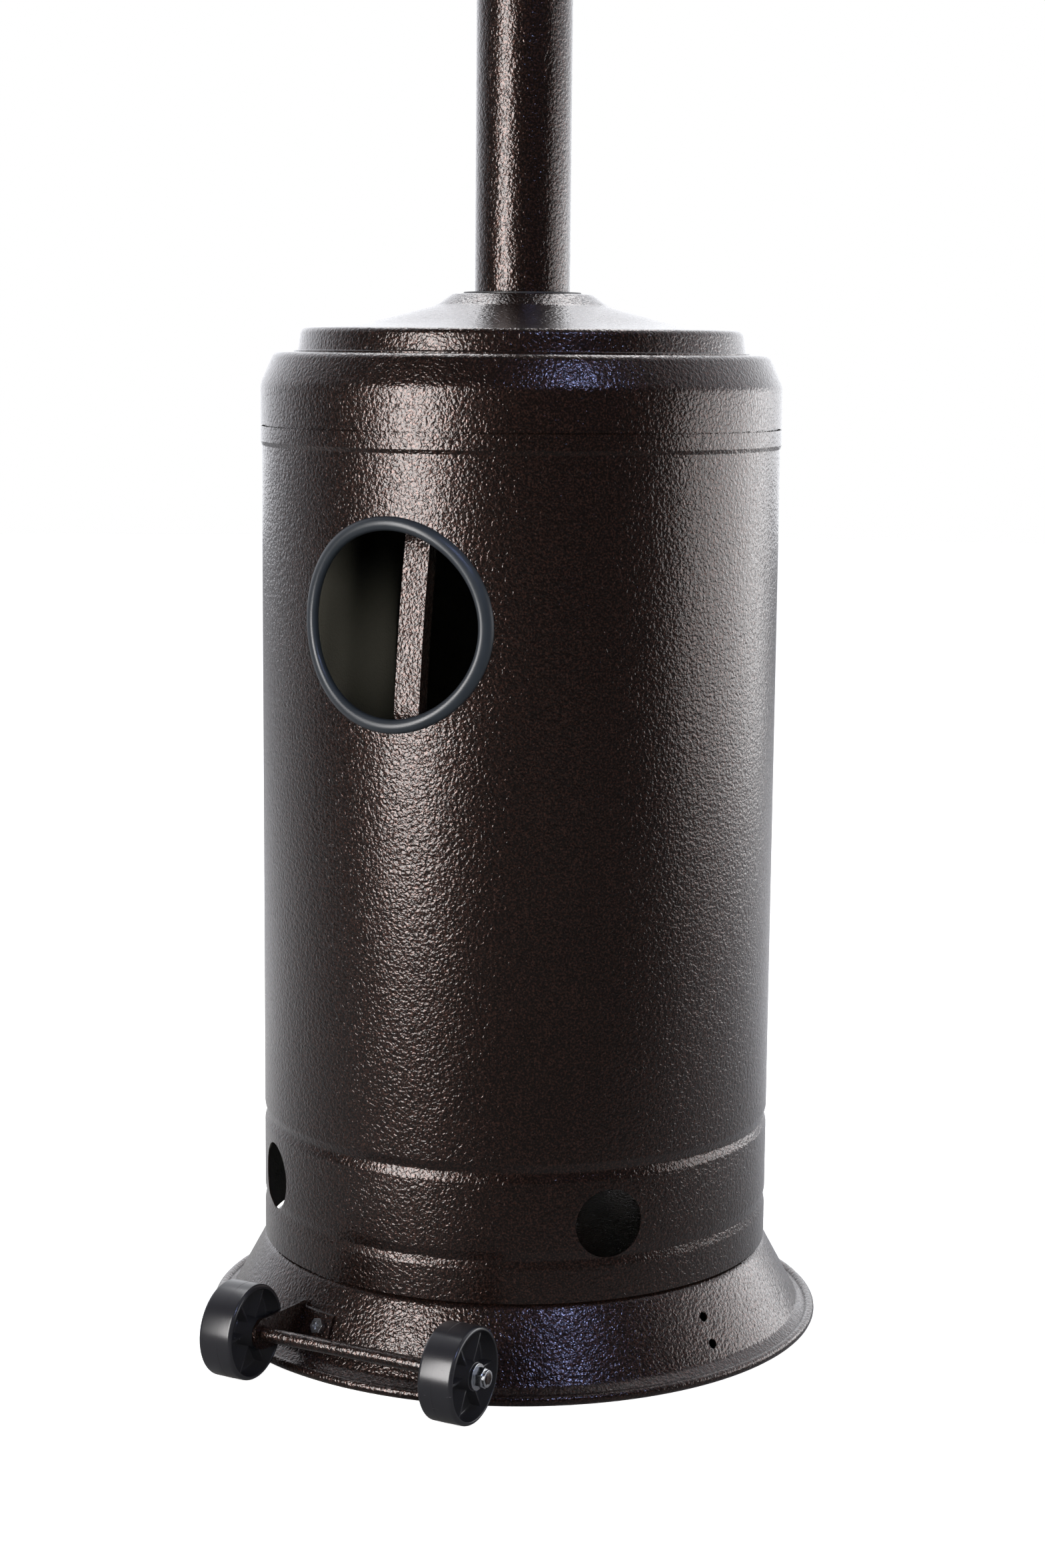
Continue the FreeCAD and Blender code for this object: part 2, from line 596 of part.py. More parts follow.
def wheel_axle():
    """A bar with a shoulder inside each arm and turned-down ends for the wheels and nuts."""
    shoulder = ARM_FACE - BRACKET_SHEET
    reach = WHEEL_INNER_FACE + axle_end()[2]
    line = Vec(0, -AXLE_REACH, AXLE_Z)
    across = Vec(1, 0, 0)
    bar = rod(line - across * shoulder, line + across * shoulder, AXLE_RADIUS)
    return bar.fuse(rod(line - across * reach, line + across * reach, AXLE_END_RADIUS)).removeSplitter()


ARM_FACE = WHEEL_INNER_FACE - HUB_PROUD - 0.4     # outer face of a bracket arm


def bracket(side):
    """A bent plate: an arm with an ear around the axle, and a flange turned in along the flare."""
    top_z, low_z = BRACKET_BOLT_HEIGHT + BRACKET_HALF_HEIGHT, BRACKET_BOLT_HEIGHT - BRACKET_HALF_HEIGHT
    outer, inner = ARM_FACE, ARM_FACE - BRACKET_SHEET
    azimuth = side * BOLT_AZIMUTH
    normal = flare_normal(azimuth)
    pad = flare_pad(azimuth, top_z, low_z)
    arm_back = -(flare_radius(low_z) - 14.0)
    ear = Vec(0, -AXLE_REACH, AXLE_Z)
    tip_y = -AXLE_REACH
    outline = [Vec(0, arm_back + 10.0, top_z + 4.0), Vec(0, -(flare_radius(top_z) + 1.0), top_z + 4.0),
               Vec(0, tip_y - 2.0, AXLE_Z + ARM_EAR_RADIUS - 0.2),
               Vec(0, tip_y - 2.0, AXLE_Z - ARM_EAR_RADIUS + 0.2),
               Vec(0, -(flare_radius(low_z) + 2.0), low_z), Vec(0, arm_back + 10.0, low_z)]
    plate = Part.Face(Part.makePolygon(outline + outline[:1])).extrude(Vec(BRACKET_SHEET, 0, 0))
    plate = plate.fuse(Part.makeCylinder(ARM_EAR_RADIUS, BRACKET_SHEET, ear, Vec(1, 0, 0)))
    plate.translate(Vec(min(side * outer, side * inner), 0, 0))
    plate = plate.cut(inside_flare(0.0))
    piece = plate.fuse(pad)
    keep = Part.makeBox(outer, 400, 200, Vec(0 if side > 0 else -outer, -400, -50))
    piece = piece.common(keep).removeSplitter()
    bore = rod(ear - Vec(200, 0, 0), ear + Vec(200, 0, 0), AXLE_END_RADIUS + 0.15)
    return drilled(piece.cut(bore), [(flare_point(BRACKET_BOLT_HEIGHT, azimuth), normal, M6["hole"])])


def flare_skin(low, high, z_low, z_high):
    """The layer between two distances outside the flare, from one height to another."""
    def edge(proud):
        return [Vec(flare_radius(z) + proud / math.cos(math.radians(BASE_FLARE_ANGLE)), 0, z)
                for z in (z_low, z_high)]
    near, far = edge(low), edge(high)
    loop = [near[0], far[0], far[1], near[1], near[0]]
    return spun(Part.Face(Part.makePolygon(loop)))


PAD_CLEARANCE = 0.25


def inside_flare(proud):
    """Everything inside the flare, carried a little beyond its surface."""
    grow = (proud + PAD_CLEARANCE) / math.cos(math.radians(BASE_FLARE_ANGLE))
    low, high = -20.0, BASE_TOP_Z + 20.0
    return Part.makeCone(flare_radius(low) + grow, flare_radius(high) + grow, high - low, Vec(0, 0, low))


def flare_pad(azimuth, top_z, low_z):
    """The bracket's flange: a patch that follows the flare, wide enough to reach its arm."""
    skin = flare_skin(PAD_CLEARANCE, PAD_CLEARANCE + BRACKET_SHEET, low_z, top_z)
    inner_edge = math.sin(math.radians(BOLT_AZIMUTH)) * flare_radius(BRACKET_BOLT_HEIGHT) - 8.5
    width = ARM_FACE - inner_edge
    start = inner_edge if azimuth > 0 else -inner_edge - width
    return skin.common(Part.makeBox(width, 400, 200, Vec(start, -400, -50)))


def bracket_fasteners():
    bolts, nuts = [], []
    for azimuth in (-BOLT_AZIMUTH, BOLT_AZIMUTH):
        normal = flare_normal(azimuth)
        seat = PAD_CLEARANCE + BRACKET_SHEET + 0.35
        bolts.append(bolt(M6, flare_point(BRACKET_BOLT_HEIGHT, azimuth, seat), normal, 12.0))
        nuts.append(nut(M6, flare_point(BRACKET_BOLT_HEIGHT, azimuth, -BASE_SHEET - 0.25), normal * -1))
    return bolts, nuts


def axle_washers():
    pieces = []
    for side in (-1, 1):
        start = Vec(axle_end()[0], 0, 0)
        flat = rod(start, start + Vec(WASHER_THICKNESS, 0, 0), WASHER_RADIUS)
        flat = flat.cut(rod(start, start + Vec(WASHER_THICKNESS, 0, 0), AXLE_END_RADIUS + THREAD_CLEARANCE))
        pieces.append(placed_on_axle(flat, side))
    return Part.makeCompound(pieces)


def axle_nuts():
    """Lock nuts: a hexagon with a round collar on its outer end."""
    pieces = []
    for side in (-1, 1):
        seat = Vec(axle_end()[1], 0, 0)
        hex_part = 5.4
        body = hexagon(M8["flats"], hex_part, seat, Vec(1, 0, 0))
        end = seat + Vec(M8["nut"], 0, 0)
        body = body.fuse(rod(seat, end, M8["flats"] / 2 - 0.6))
        body = body.cut(rod(seat, end, M8["shank"] + THREAD_CLEARANCE))
        pieces.append(placed_on_axle(body.removeSplitter(), side))
    return Part.makeCompound(pieces)


# ---------------------------------------------------------------------------- burner head
def head_flange():
    """The collar that clamps the head to the top of the post, with a plate under the skirt's floor."""
    clearance = 0.2
    bore = POST_RADIUS + clearance
    sleeve = ring(bore + 2.5, bore, SKIRT_BOTTOM_Z - 26.0, 26.0)
    return sleeve.fuse(ring(SKIRT_BOTTOM_RADIUS - 2.0, bore, SKIRT_BOTTOM_Z - 2.5, 2.5)).removeSplitter()


def head_screws():
    """Three screws through the collar into the post."""
    start = at_azimuth(POST_RADIUS + 2.8, 0, SKIRT_BOTTOM_Z - 14.0)
    out = Vec(0, -1, 0)
    screw = hexagon(8.0, 3.5, start, out).fuse(rod(start, start - out * 6.0, 2.5))
    return Part.makeCompound(around(screw.removeSplitter(), (60.0, 180.0, 300.0)))


def head_screw_holes():
    start = at_azimuth(POST_RADIUS, 0, SKIRT_BOTTOM_Z - 14.0)
    hole = rod(start + Vec(0, 6, 0), start - Vec(0, 6, 0), 2.5 + THREAD_CLEARANCE)
    return around(hole, (60.0, 180.0, 300.0))


def burner_skirt():
    """The shell around the valve: floor, cone and upright band, with air slots and the control window."""
    cone_top = SKIRT_BOTTOM_Z + SKIRT_CONE_HEIGHT
    path = [(SKIRT_RADIUS - 10.0, HEAD_Z), (SKIRT_RADIUS, HEAD_Z), (SKIRT_RADIUS, cone_top),
            (SKIRT_BOTTOM_RADIUS, SKIRT_BOTTOM_Z), (POST_RADIUS + 0.4, SKIRT_BOTTOM_Z)]
    # the path runs down the outside, so the sheet lies on its right
    skin = shell(path[::-1], [5.0, 9.0, 3.0], HEAD_SHEET)
    middle = KNOB_Z
    slot = Part.makeBox(SKIRT_SLOT_WIDTH, 40, SKIRT_SLOT_HEIGHT,
                        Vec(-SKIRT_SLOT_WIDTH / 2, -SKIRT_RADIUS - 20, middle - SKIRT_SLOT_HEIGHT / 2))
    clear = math.degrees(math.asin(BEZEL_WIDTH / 2 / SKIRT_RADIUS)) + 6.0
    azimuths = [360.0 * (k + 0.5) / SKIRT_SLOTS for k in range(SKIRT_SLOTS)]
    azimuths = [a for a in azimuths if clear < a < 360.0 - clear]
    window = Part.makeBox(BEZEL_WIDTH - 16.0, 80, BEZEL_HEIGHT - 16.0,
                          Vec(-BEZEL_WIDTH / 2 + 8.0, -SKIRT_RADIUS - 20, middle - BEZEL_HEIGHT / 2 + 8.0))
    return skin.cut(around(slot, azimuths) + [window])


def control_bezel():
    """A moulded box on the front of the skirt, open behind, with holes for the knob's stem and the igniter."""
    depth = 60.0
    block = Part.makeBox(BEZEL_WIDTH, depth, BEZEL_HEIGHT,
                         Vec(-BEZEL_WIDTH / 2, BEZEL_FACE_Y, KNOB_Z - BEZEL_HEIGHT / 2))
    upright = [e for e in block.Edges if e.Vertexes[0].Point.x == e.Vertexes[1].Point.x
               and e.Vertexes[0].Point.z == e.Vertexes[1].Point.z]
    block = block.makeFillet(6.0, upright)
    hollow = Part.makeBox(BEZEL_WIDTH - 2 * BEZEL_WALL, depth, BEZEL_HEIGHT - 2 * BEZEL_WALL,
                          Vec(-BEZEL_WIDTH / 2 + BEZEL_WALL, BEZEL_FACE_Y + BEZEL_WALL,
                              KNOB_Z - BEZEL_HEIGHT / 2 + BEZEL_WALL))
    drum = Part.makeCylinder(SKIRT_RADIUS + 0.2, BEZEL_HEIGHT * 2, Vec(0, 0, KNOB_Z - BEZEL_HEIGHT))
    holes = [(Vec(KNOB_X, BEZEL_FACE_Y, KNOB_Z), Vec(0, 1, 0), STEM_RADIUS + MOVING_CLEARANCE),
             (Vec(BUTTON_X, BEZEL_FACE_Y, KNOB_Z), Vec(0, 1, 0), BUTTON_RADIUS + 2.6)]
    return drilled(block.cut([hollow, drum]), holes)


def gas_valve():
    """The valve body behind the bezel, with the spool's bore and the outlet that feeds the injector."""
    y_front, y_back = VALVE_NECK_Y + 12.0, VALVE_Y + 4.0
    body = Part.makeBox(42, y_back - y_front, 34, Vec(KNOB_X - 14, y_front, KNOB_Z - 17))
    body = body.makeFillet(3.0, body.Edges)
    neck = rod(Vec(KNOB_X, VALVE_NECK_Y, KNOB_Z), Vec(KNOB_X, y_front + 6, KNOB_Z), SPOOL_RADIUS + 4.0)
    outlet = rod(Vec(0, VALVE_Y, KNOB_Z), Vec(0, VALVE_Y, KNOB_Z + VALVE_OUTLET), 9.0)
    inlet = rod(Vec(0, VALVE_Y, KNOB_Z), Vec(0, VALVE_Y, KNOB_Z - VALVE_INLET), 9.0)
    body = body.fuse([neck, outlet, inlet]).removeSplitter()
    depth = SPOOL_RECESS + SPOOL_LENGTH + KNOB_TRAVEL + 1.5
    return body.cut(rod(Vec(KNOB_X, VALVE_NECK_Y - 1, KNOB_Z), Vec(KNOB_X, VALVE_NECK_Y + depth, KNOB_Z),
                        SPOOL_RADIUS + RUNNING_CLEARANCE))


def valve_spool():
    """The sleeve that slides in the valve's neck when the knob is pressed, and carries the spindle."""
    front = VALVE_NECK_Y + SPOOL_RECESS
    start, end = Vec(KNOB_X, front, KNOB_Z), Vec(KNOB_X, front + SPOOL_LENGTH, KNOB_Z)
    return rod(start, end, SPOOL_RADIUS).cut(rod(start, end, STEM_RADIUS + RUNNING_CLEARANCE))


def gas_inlet():
    """A brass flare fitting under the valve, where the gas hose screws on."""
    centre = Vec(0, VALVE_Y, KNOB_Z - VALVE_INLET)
    hex_part = hexagon(17.0, 8.0, centre, -UP)
    thread = rod(centre - UP * 8.0, centre - UP * 20.0, 7.5)
    nose = Part.makeCone(7.5, 4.5, 4.0, centre - UP * 20.0, -UP)
    body = hex_part.fuse([thread, nose])
    return body.cut(rod(centre, centre - UP * 25.0, 2.5)).removeSplitter()


def injector():
    start = Vec(0, VALVE_Y, KNOB_Z + VALVE_OUTLET)
    return hexagon(13.0, 8.0, start, UP).fuse(rod(start + UP * 8, start + UP * 13, 3.5)).removeSplitter()


def valve_stem():
    """Flattened spindle that turns in the spool and carries the knob."""
    back, front = VALVE_NECK_Y + SPOOL_RECESS + SPOOL_LENGTH, BEZEL_FACE_Y - KNOB_TRAVEL - 10.0
    stem = rod(Vec(KNOB_X, back, KNOB_Z), Vec(KNOB_X, front, KNOB_Z), STEM_RADIUS)
    flat = Part.makeBox(20, 14.5, 4, Vec(KNOB_X - 10, front - 0.5, KNOB_Z + STEM_RADIUS - 1.2))
    return stem.cut(flat)


def control_knob():
    """A round knob with a raised grip bar, blind-bored for the flattened spindle."""
    back = BEZEL_FACE_Y - KNOB_TRAVEL - 1.0
    out = Vec(0, -1, 0)
    skirt = Part.makeCone(KNOB_RADIUS, KNOB_RADIUS - 1.5, 7.0, Vec(KNOB_X, back, KNOB_Z), out)
    drum = Part.makeCone(KNOB_RADIUS - 4.0, KNOB_RADIUS - 5.0, KNOB_DEPTH - 2.0, Vec(KNOB_X, back, KNOB_Z), out)
    grip = Part.makeBox(7.0, KNOB_DEPTH - 4.0, 2 * KNOB_RADIUS - 5.0,
                        Vec(KNOB_X - 3.5, back - KNOB_DEPTH, KNOB_Z - KNOB_RADIUS + 2.5))
    body = skirt.fuse([drum, grip]).removeSplitter()
    depth = 9.0 + KNOB_TRAVEL + 1.0
    bore = rod(Vec(KNOB_X, back + 1, KNOB_Z), Vec(KNOB_X, back - depth, KNOB_Z), STEM_RADIUS + 0.1)
    flat = Part.makeBox(20, depth + 2, 4, Vec(KNOB_X - 10, back - depth - 0.5, KNOB_Z + STEM_RADIUS - 1.05))
    return body.cut(bore.cut(flat))


def igniter_body():
    """The piezo igniter: a threaded barrel through the bezel, with a bored nose ring outside it."""
    face = BEZEL_FACE_Y
    into = Vec(0, 1, 0)
    centre = Vec(BUTTON_X, face, KNOB_Z)
    nose = rod(centre - into * 3.0, centre, BUTTON_RADIUS + 4.5)
    barrel = rod(centre, centre + into * 46.0, BUTTON_RADIUS + 2.4)
    bore = rod(centre - into * 4.0, centre + into * 22.0, BUTTON_RADIUS + MOVING_CLEARANCE)
    return nose.fuse(barrel).cut(bore).removeSplitter()


def igniter_nut():
    seat = Vec(BUTTON_X, BEZEL_FACE_Y + BEZEL_WALL, KNOB_Z)
    body = hexagon(26.0, 5.0, seat, Vec(0, 1, 0))
    return body.cut(rod(seat, seat + Vec(0, 5, 0), BUTTON_RADIUS + 2.4 + THREAD_CLEARANCE))


def igniter_button():
    front, back = BEZEL_FACE_Y - BUTTON_PROUD, BEZEL_FACE_Y + 22.0 - BUTTON_TRAVEL - 1.5
    button = rod(Vec(BUTTON_X, back, KNOB_Z), Vec(BUTTON_X, front, KNOB_Z), BUTTON_RADIUS)
    rounded = [e for e in button.Edges if abs(e.BoundBox.YMin - front) < 0.01
               and abs(e.BoundBox.YMax - front) < 0.01]
    return button.makeFillet(1.5, rounded)


def tilt_switch():
    """The cut-out that closes the valve when the heater leans, hung on the valve's left side."""
    width, depth, height = 18.0, 26.0, 30.0
    box = Part.makeBox(width, depth, height,
                       Vec(KNOB_X - 14.0 - width, VALVE_NECK_Y + 22.0, KNOB_Z - height / 2))
    return box.makeFillet(2.0, box.Edges)


def burner_plate():
    plate = disc(TOP_PLATE_RADIUS, HEAD_Z, BURNER_PLATE)
    holes = [(Vec(0, VALVE_Y, HEAD_Z), UP, VENTURI_RADIUS + 0.3)]
    holes += [(at_azimuth(74.0, a, HEAD_Z), UP, 6.0) for a in range(0, 360, 45)]
    return drilled(plate, holes)


VENTURI_RADIUS = 13.0


def venturi():
    """The tube that mixes gas and air between the injector and the burner, with its air ports."""
    low, high = KNOB_Z + 36.0, SCREEN_Z + 4.0
    tube = rod(Vec(0, VALVE_Y, low), Vec(0, VALVE_Y, high), VENTURI_RADIUS)
    tube = tube.cut(rod(Vec(0, VALVE_Y, low), Vec(0, VALVE_Y, high), VENTURI_RADIUS - 1.5))
    port = Part.makeBox(60, 8, 9, Vec(-30, VALVE_Y - 4, low + 3))
    return tube.cut(port)


def burner():
    """A drum with gas ports round its side, over the venturi."""
    start = SCREEN_Z + 4.0
    drum = disc(BURNER_RADIUS + 8.0, start, BURNER_HEIGHT)
    hollow = disc(BURNER_RADIUS + 5.5, start + 2.0, BURNER_HEIGHT - 4.0)
    feed = rod(Vec(0, VALVE_Y, start - 1), Vec(0, VALVE_Y, start + 3), VENTURI_RADIUS - 1.5)
    port = Part.makeBox(3.0, 30, 12, Vec(-1.5, -BURNER_RADIUS - 20, start + 7.0))
    ports = around(port, [360.0 * k / PORT_COUNT for k in range(PORT_COUNT)])
    return drum.cut([hollow, feed] + ports)


def pilot_parts():
    """Bracket, thermocouple and spark electrode beside the burner, as three separate shapes."""
    floor = SCREEN_Z
    spot = Vec(0, 64.0, floor)
    foot = Part.makeBox(40, 12, 1.5, spot + Vec(-20, -6, 0))
    upright = Part.makeBox(40, 1.5, 34, spot + Vec(-20, 4.5, 0))
    bracket_shape = foot.fuse(upright).removeSplitter()
    holder = 4.5 + 0.75
    thermo = rod(spot + Vec(-11, holder, 20), spot + Vec(-11, holder, 58), 2.4)
    spark = rod(spot + Vec(11, holder, 14), spot + Vec(11, holder, 42), 3.5)
    spark = spark.fuse(rod(spot + Vec(11, holder, 42), spot + Vec(11, holder, 56), 1.0))
    bracket_shape = bracket_shape.cut([rod(spot + Vec(-11, holder, -5), spot + Vec(-11, holder, 60), 2.5),
                                       rod(spot + Vec(11, holder, -5), spot + Vec(11, holder, 60), 3.6)])
    return bracket_shape, thermo, spark.removeSplitter()


def emitter_screen():
    """The perforated cylinder that glows around the flame, with a plain band at each end."""
    tube = ring(SCREEN_RADIUS, SCREEN_RADIUS - SCREEN_SHEET, SCREEN_Z, SCREEN_HEIGHT)
    hole = Part.makeCylinder(SCREEN_HOLE_RADIUS, 12, Vec(0, -SCREEN_RADIUS + 6, 0), Vec(0, -1, 0))
    margin = 16.0
    pitch = (SCREEN_HEIGHT - 2 * margin) / (SCREEN_ROWS - 1)
    holes = []
    for row in range(SCREEN_ROWS):
        for column in range(SCREEN_COLUMNS):
            one = turned(hole, 360.0 * (column + 0.5 * (row % 2)) / SCREEN_COLUMNS)
            one.translate(Vec(0, 0, SCREEN_Z + margin + pitch * row))
            holes.append(one)
    return tube.cut(Part.makeCompound(holes))


def emitter_top():
    """The lid of the screen, with a turned-down edge and holes for the studs."""
    path = [(0.0, TOP_PLATE_Z + BURNER_PLATE), (TOP_PLATE_RADIUS, TOP_PLATE_Z + BURNER_PLATE),
            (TOP_PLATE_RADIUS, TOP_PLATE_Z - 8.0)]
    moved = path[::-1]
    lid = shell(moved, [3.0], BURNER_PLATE)
    return drilled(lid, [(at_azimuth(STUD_CIRCLE, a, TOP_PLATE_Z), UP, STUD_RADIUS + 0.3)
                         for a in STUD_AZIMUTHS])


# ---------------------------------------------------------------------------- reflector
STUD_TOP_Z = OVERALL_HEIGHT
CROWN_Z = OVERALL_HEIGHT - 16.0 - 4.0        # top of the reflector panels' flat crown
STUD_BOTTOM_Z = TOP_PLATE_Z - 14.0


def reflector_studs():
    stud = rod(at_azimuth(STUD_CIRCLE, 0, STUD_BOTTOM_Z), at_azimuth(STUD_CIRCLE, 0, STUD_TOP_Z), STUD_RADIUS)
    return Part.makeCompound(around(stud, STUD_AZIMUTHS))


def stud_nuts():
    """The nuts that hold the studs to the screen's lid, one under it and one on it."""
    low = nut(M6, at_azimuth(STUD_CIRCLE, 0, TOP_PLATE_Z), -UP)
    high = nut(M6, at_azimuth(STUD_CIRCLE, 0, TOP_PLATE_Z + BURNER_PLATE), UP)
    return Part.makeCompound(around(low, STUD_AZIMUTHS) + around(high, STUD_AZIMUTHS))


def stud_spacers():
    """Tubes on the studs that hold the reflector clear of the hot lid."""
    start = TOP_PLATE_Z + BURNER_PLATE + M6["nut"]
    end = CROWN_Z - REFLECTOR_SHEET
    outer = at_azimuth(STUD_CIRCLE, 0, start), at_azimuth(STUD_CIRCLE, 0, end)
    tube = rod(*outer, 6.0).cut(rod(*outer, STUD_RADIUS + 0.2))
    return Part.makeCompound(around(tube, STUD_AZIMUTHS))


def reflector_path():
    """Top side of the reflector in the XZ plane, from its rim up to its crown."""
    rim_z = CROWN_Z - REFLECTOR_DROP
    knee = REFLECTOR_CROWN_RADIUS + 150.0
    return [(REFLECTOR_RADIUS, rim_z - REFLECTOR_RIM), (REFLECTOR_RADIUS, rim_z + 2.0),
            (knee, rim_z + 74.0), (REFLECTOR_CROWN_RADIUS, CROWN_Z), (PANEL_HOLE, CROWN_Z)]


PANEL_HOLE = 22.0
REFLECTOR_BENDS = [6.0, 420.0, 30.0]


def seam_lip():
    """The stiffening lip along one seam of a panel, in the XZ plane, its top buried in the skin."""
    half_skin = REFLECTOR_SHEET / 2
    points, bends = offset_points(reflector_path()[1:], REFLECTOR_BENDS[1:], half_skin)
    lip = sheet_face(points, bends, REFLECTOR_SEAM_LIP - half_skin).extrude(Vec(0, REFLECTOR_SHEET, 0))
    low = CROWN_Z - 2 * REFLECTOR_DROP
    outside = ring(REFLECTOR_RADIUS - SEAM_LIP_INSET, REFLECTOR_CROWN_RADIUS + 30.0, low, 2 * REFLECTOR_DROP)
    return lip.common(outside)


def reflector_panel():
    """One third of the dome at the front, with a lip turned down along each seam."""
    gap = REFLECTOR_SEAM_GAP / 2
    start, end = seam_lip(), seam_lip()
    start.translate(Vec(0, gap, 0))
    end.translate(Vec(0, -gap - REFLECTOR_SHEET, 0))
    end.rotate(ORIGIN, UP, 120)
    skin = spun(sheet_face(reflector_path(), REFLECTOR_BENDS, REFLECTOR_SHEET), 120.0)
    reach = 2 * REFLECTOR_RADIUS
    near = Part.makeBox(reach, gap + 1.0, reach, Vec(0, -1.0, CROWN_Z - reach / 2))
    far = Part.makeBox(reach, gap + 1.0, reach, Vec(0, -gap, CROWN_Z - reach / 2))
    far.rotate(ORIGIN, UP, 120)
    panel = skin.cut([near, far]).fuse([start, end]).removeSplitter()
    panel.rotate(ORIGIN, UP, -90 - 60)
    holes = [(at_azimuth(STUD_CIRCLE, a, CROWN_Z), UP, STUD_RADIUS + 0.3) for a in STUD_AZIMUTHS]
    return drilled(panel, holes)


def seam_height(radius):
    """Height of the middle of the seam lips under the dome at a radius."""
    rim_z = CROWN_Z - REFLECTOR_DROP
    knee = REFLECTOR_CROWN_RADIUS + 150.0
    if radius > knee:
        share = (REFLECTOR_RADIUS - radius) / (REFLECTOR_RADIUS - knee)
        return rim_z + 2.0 + 72.0 * share - REFLECTOR_SEAM_LIP * 0.65
    share = (knee - radius) / (knee - REFLECTOR_CROWN_RADIUS)
    return rim_z + 74.0 + (CROWN_Z - rim_z - 74.0) * share - REFLECTOR_SEAM_LIP * 0.65


def seam_screws():
    """Small screws that draw each pair of lips together."""
    pieces = []
    half = REFLECTOR_SEAM_GAP / 2 + REFLECTOR_SHEET
    for azimuth in (60.0, 180.0, 300.0):
        for radius in SEAM_SCREW_RADII:
            middle = Vec(0, -radius, seam_height(radius))
            across = Vec(1, 0, 0)
            screw = rod(middle - across * (half + 5.0), middle + across * half, 1.5)
            screw = screw.fuse(rod(middle + across * half, middle + across * (half + 2.2), 3.2))
            screw = screw.fuse(hexagon(5.5, 2.4, middle - across * (half + 2.4), across))
            pieces.append(turned(screw.removeSplitter(), azimuth))
    return pieces


def reflector_cap():
    """The disc that covers the panels' inner ends."""
    plate = disc(CAP_RADIUS - 20.0, CROWN_Z, 2.0)
    return drilled(plate, [(at_azimuth(STUD_CIRCLE, a, CROWN_Z), UP, STUD_RADIUS + 0.3)
                           for a in STUD_AZIMUTHS])


def wing_nuts():
    """A boss and two raised ears on each stud."""
    seat = CROWN_Z + 2.0
    boss = Part.makeCone(6.0, 4.6, 7.0, at_azimuth(STUD_CIRCLE, 0, seat))
    ears = []
    for side in (-1, 1):
        ear = Part.makeBox(10.0, 2.2, WING_HEIGHT, Vec(0, -1.1, 0))
        ear = ear.makeFillet(4.0, [ear.Edges[k] for k in range(len(ear.Edges))
                                   if abs(ear.Edges[k].BoundBox.XMin - 10.0) < 0.01
                                   and abs(ear.Edges[k].BoundBox.ZMin - WING_HEIGHT) < 0.01])
        ear.rotate(Vec(0, 0, 0), Vec(0, 1, 0), -18)
        if side < 0:
            ear.rotate(ORIGIN, UP, 180)
        ear.translate(at_azimuth(STUD_CIRCLE, 0, seat + 1.5) + Vec(side * 3.5, 0, 0))
        ears.append(ear)
    stud = rod(at_azimuth(STUD_CIRCLE, 0, seat - 5), at_azimuth(STUD_CIRCLE, 0, seat + 30),
               STUD_RADIUS + THREAD_CLEARANCE)
    return Part.makeCompound(around(boss.fuse(ears).cut(stud).removeSplitter(), STUD_AZIMUTHS))


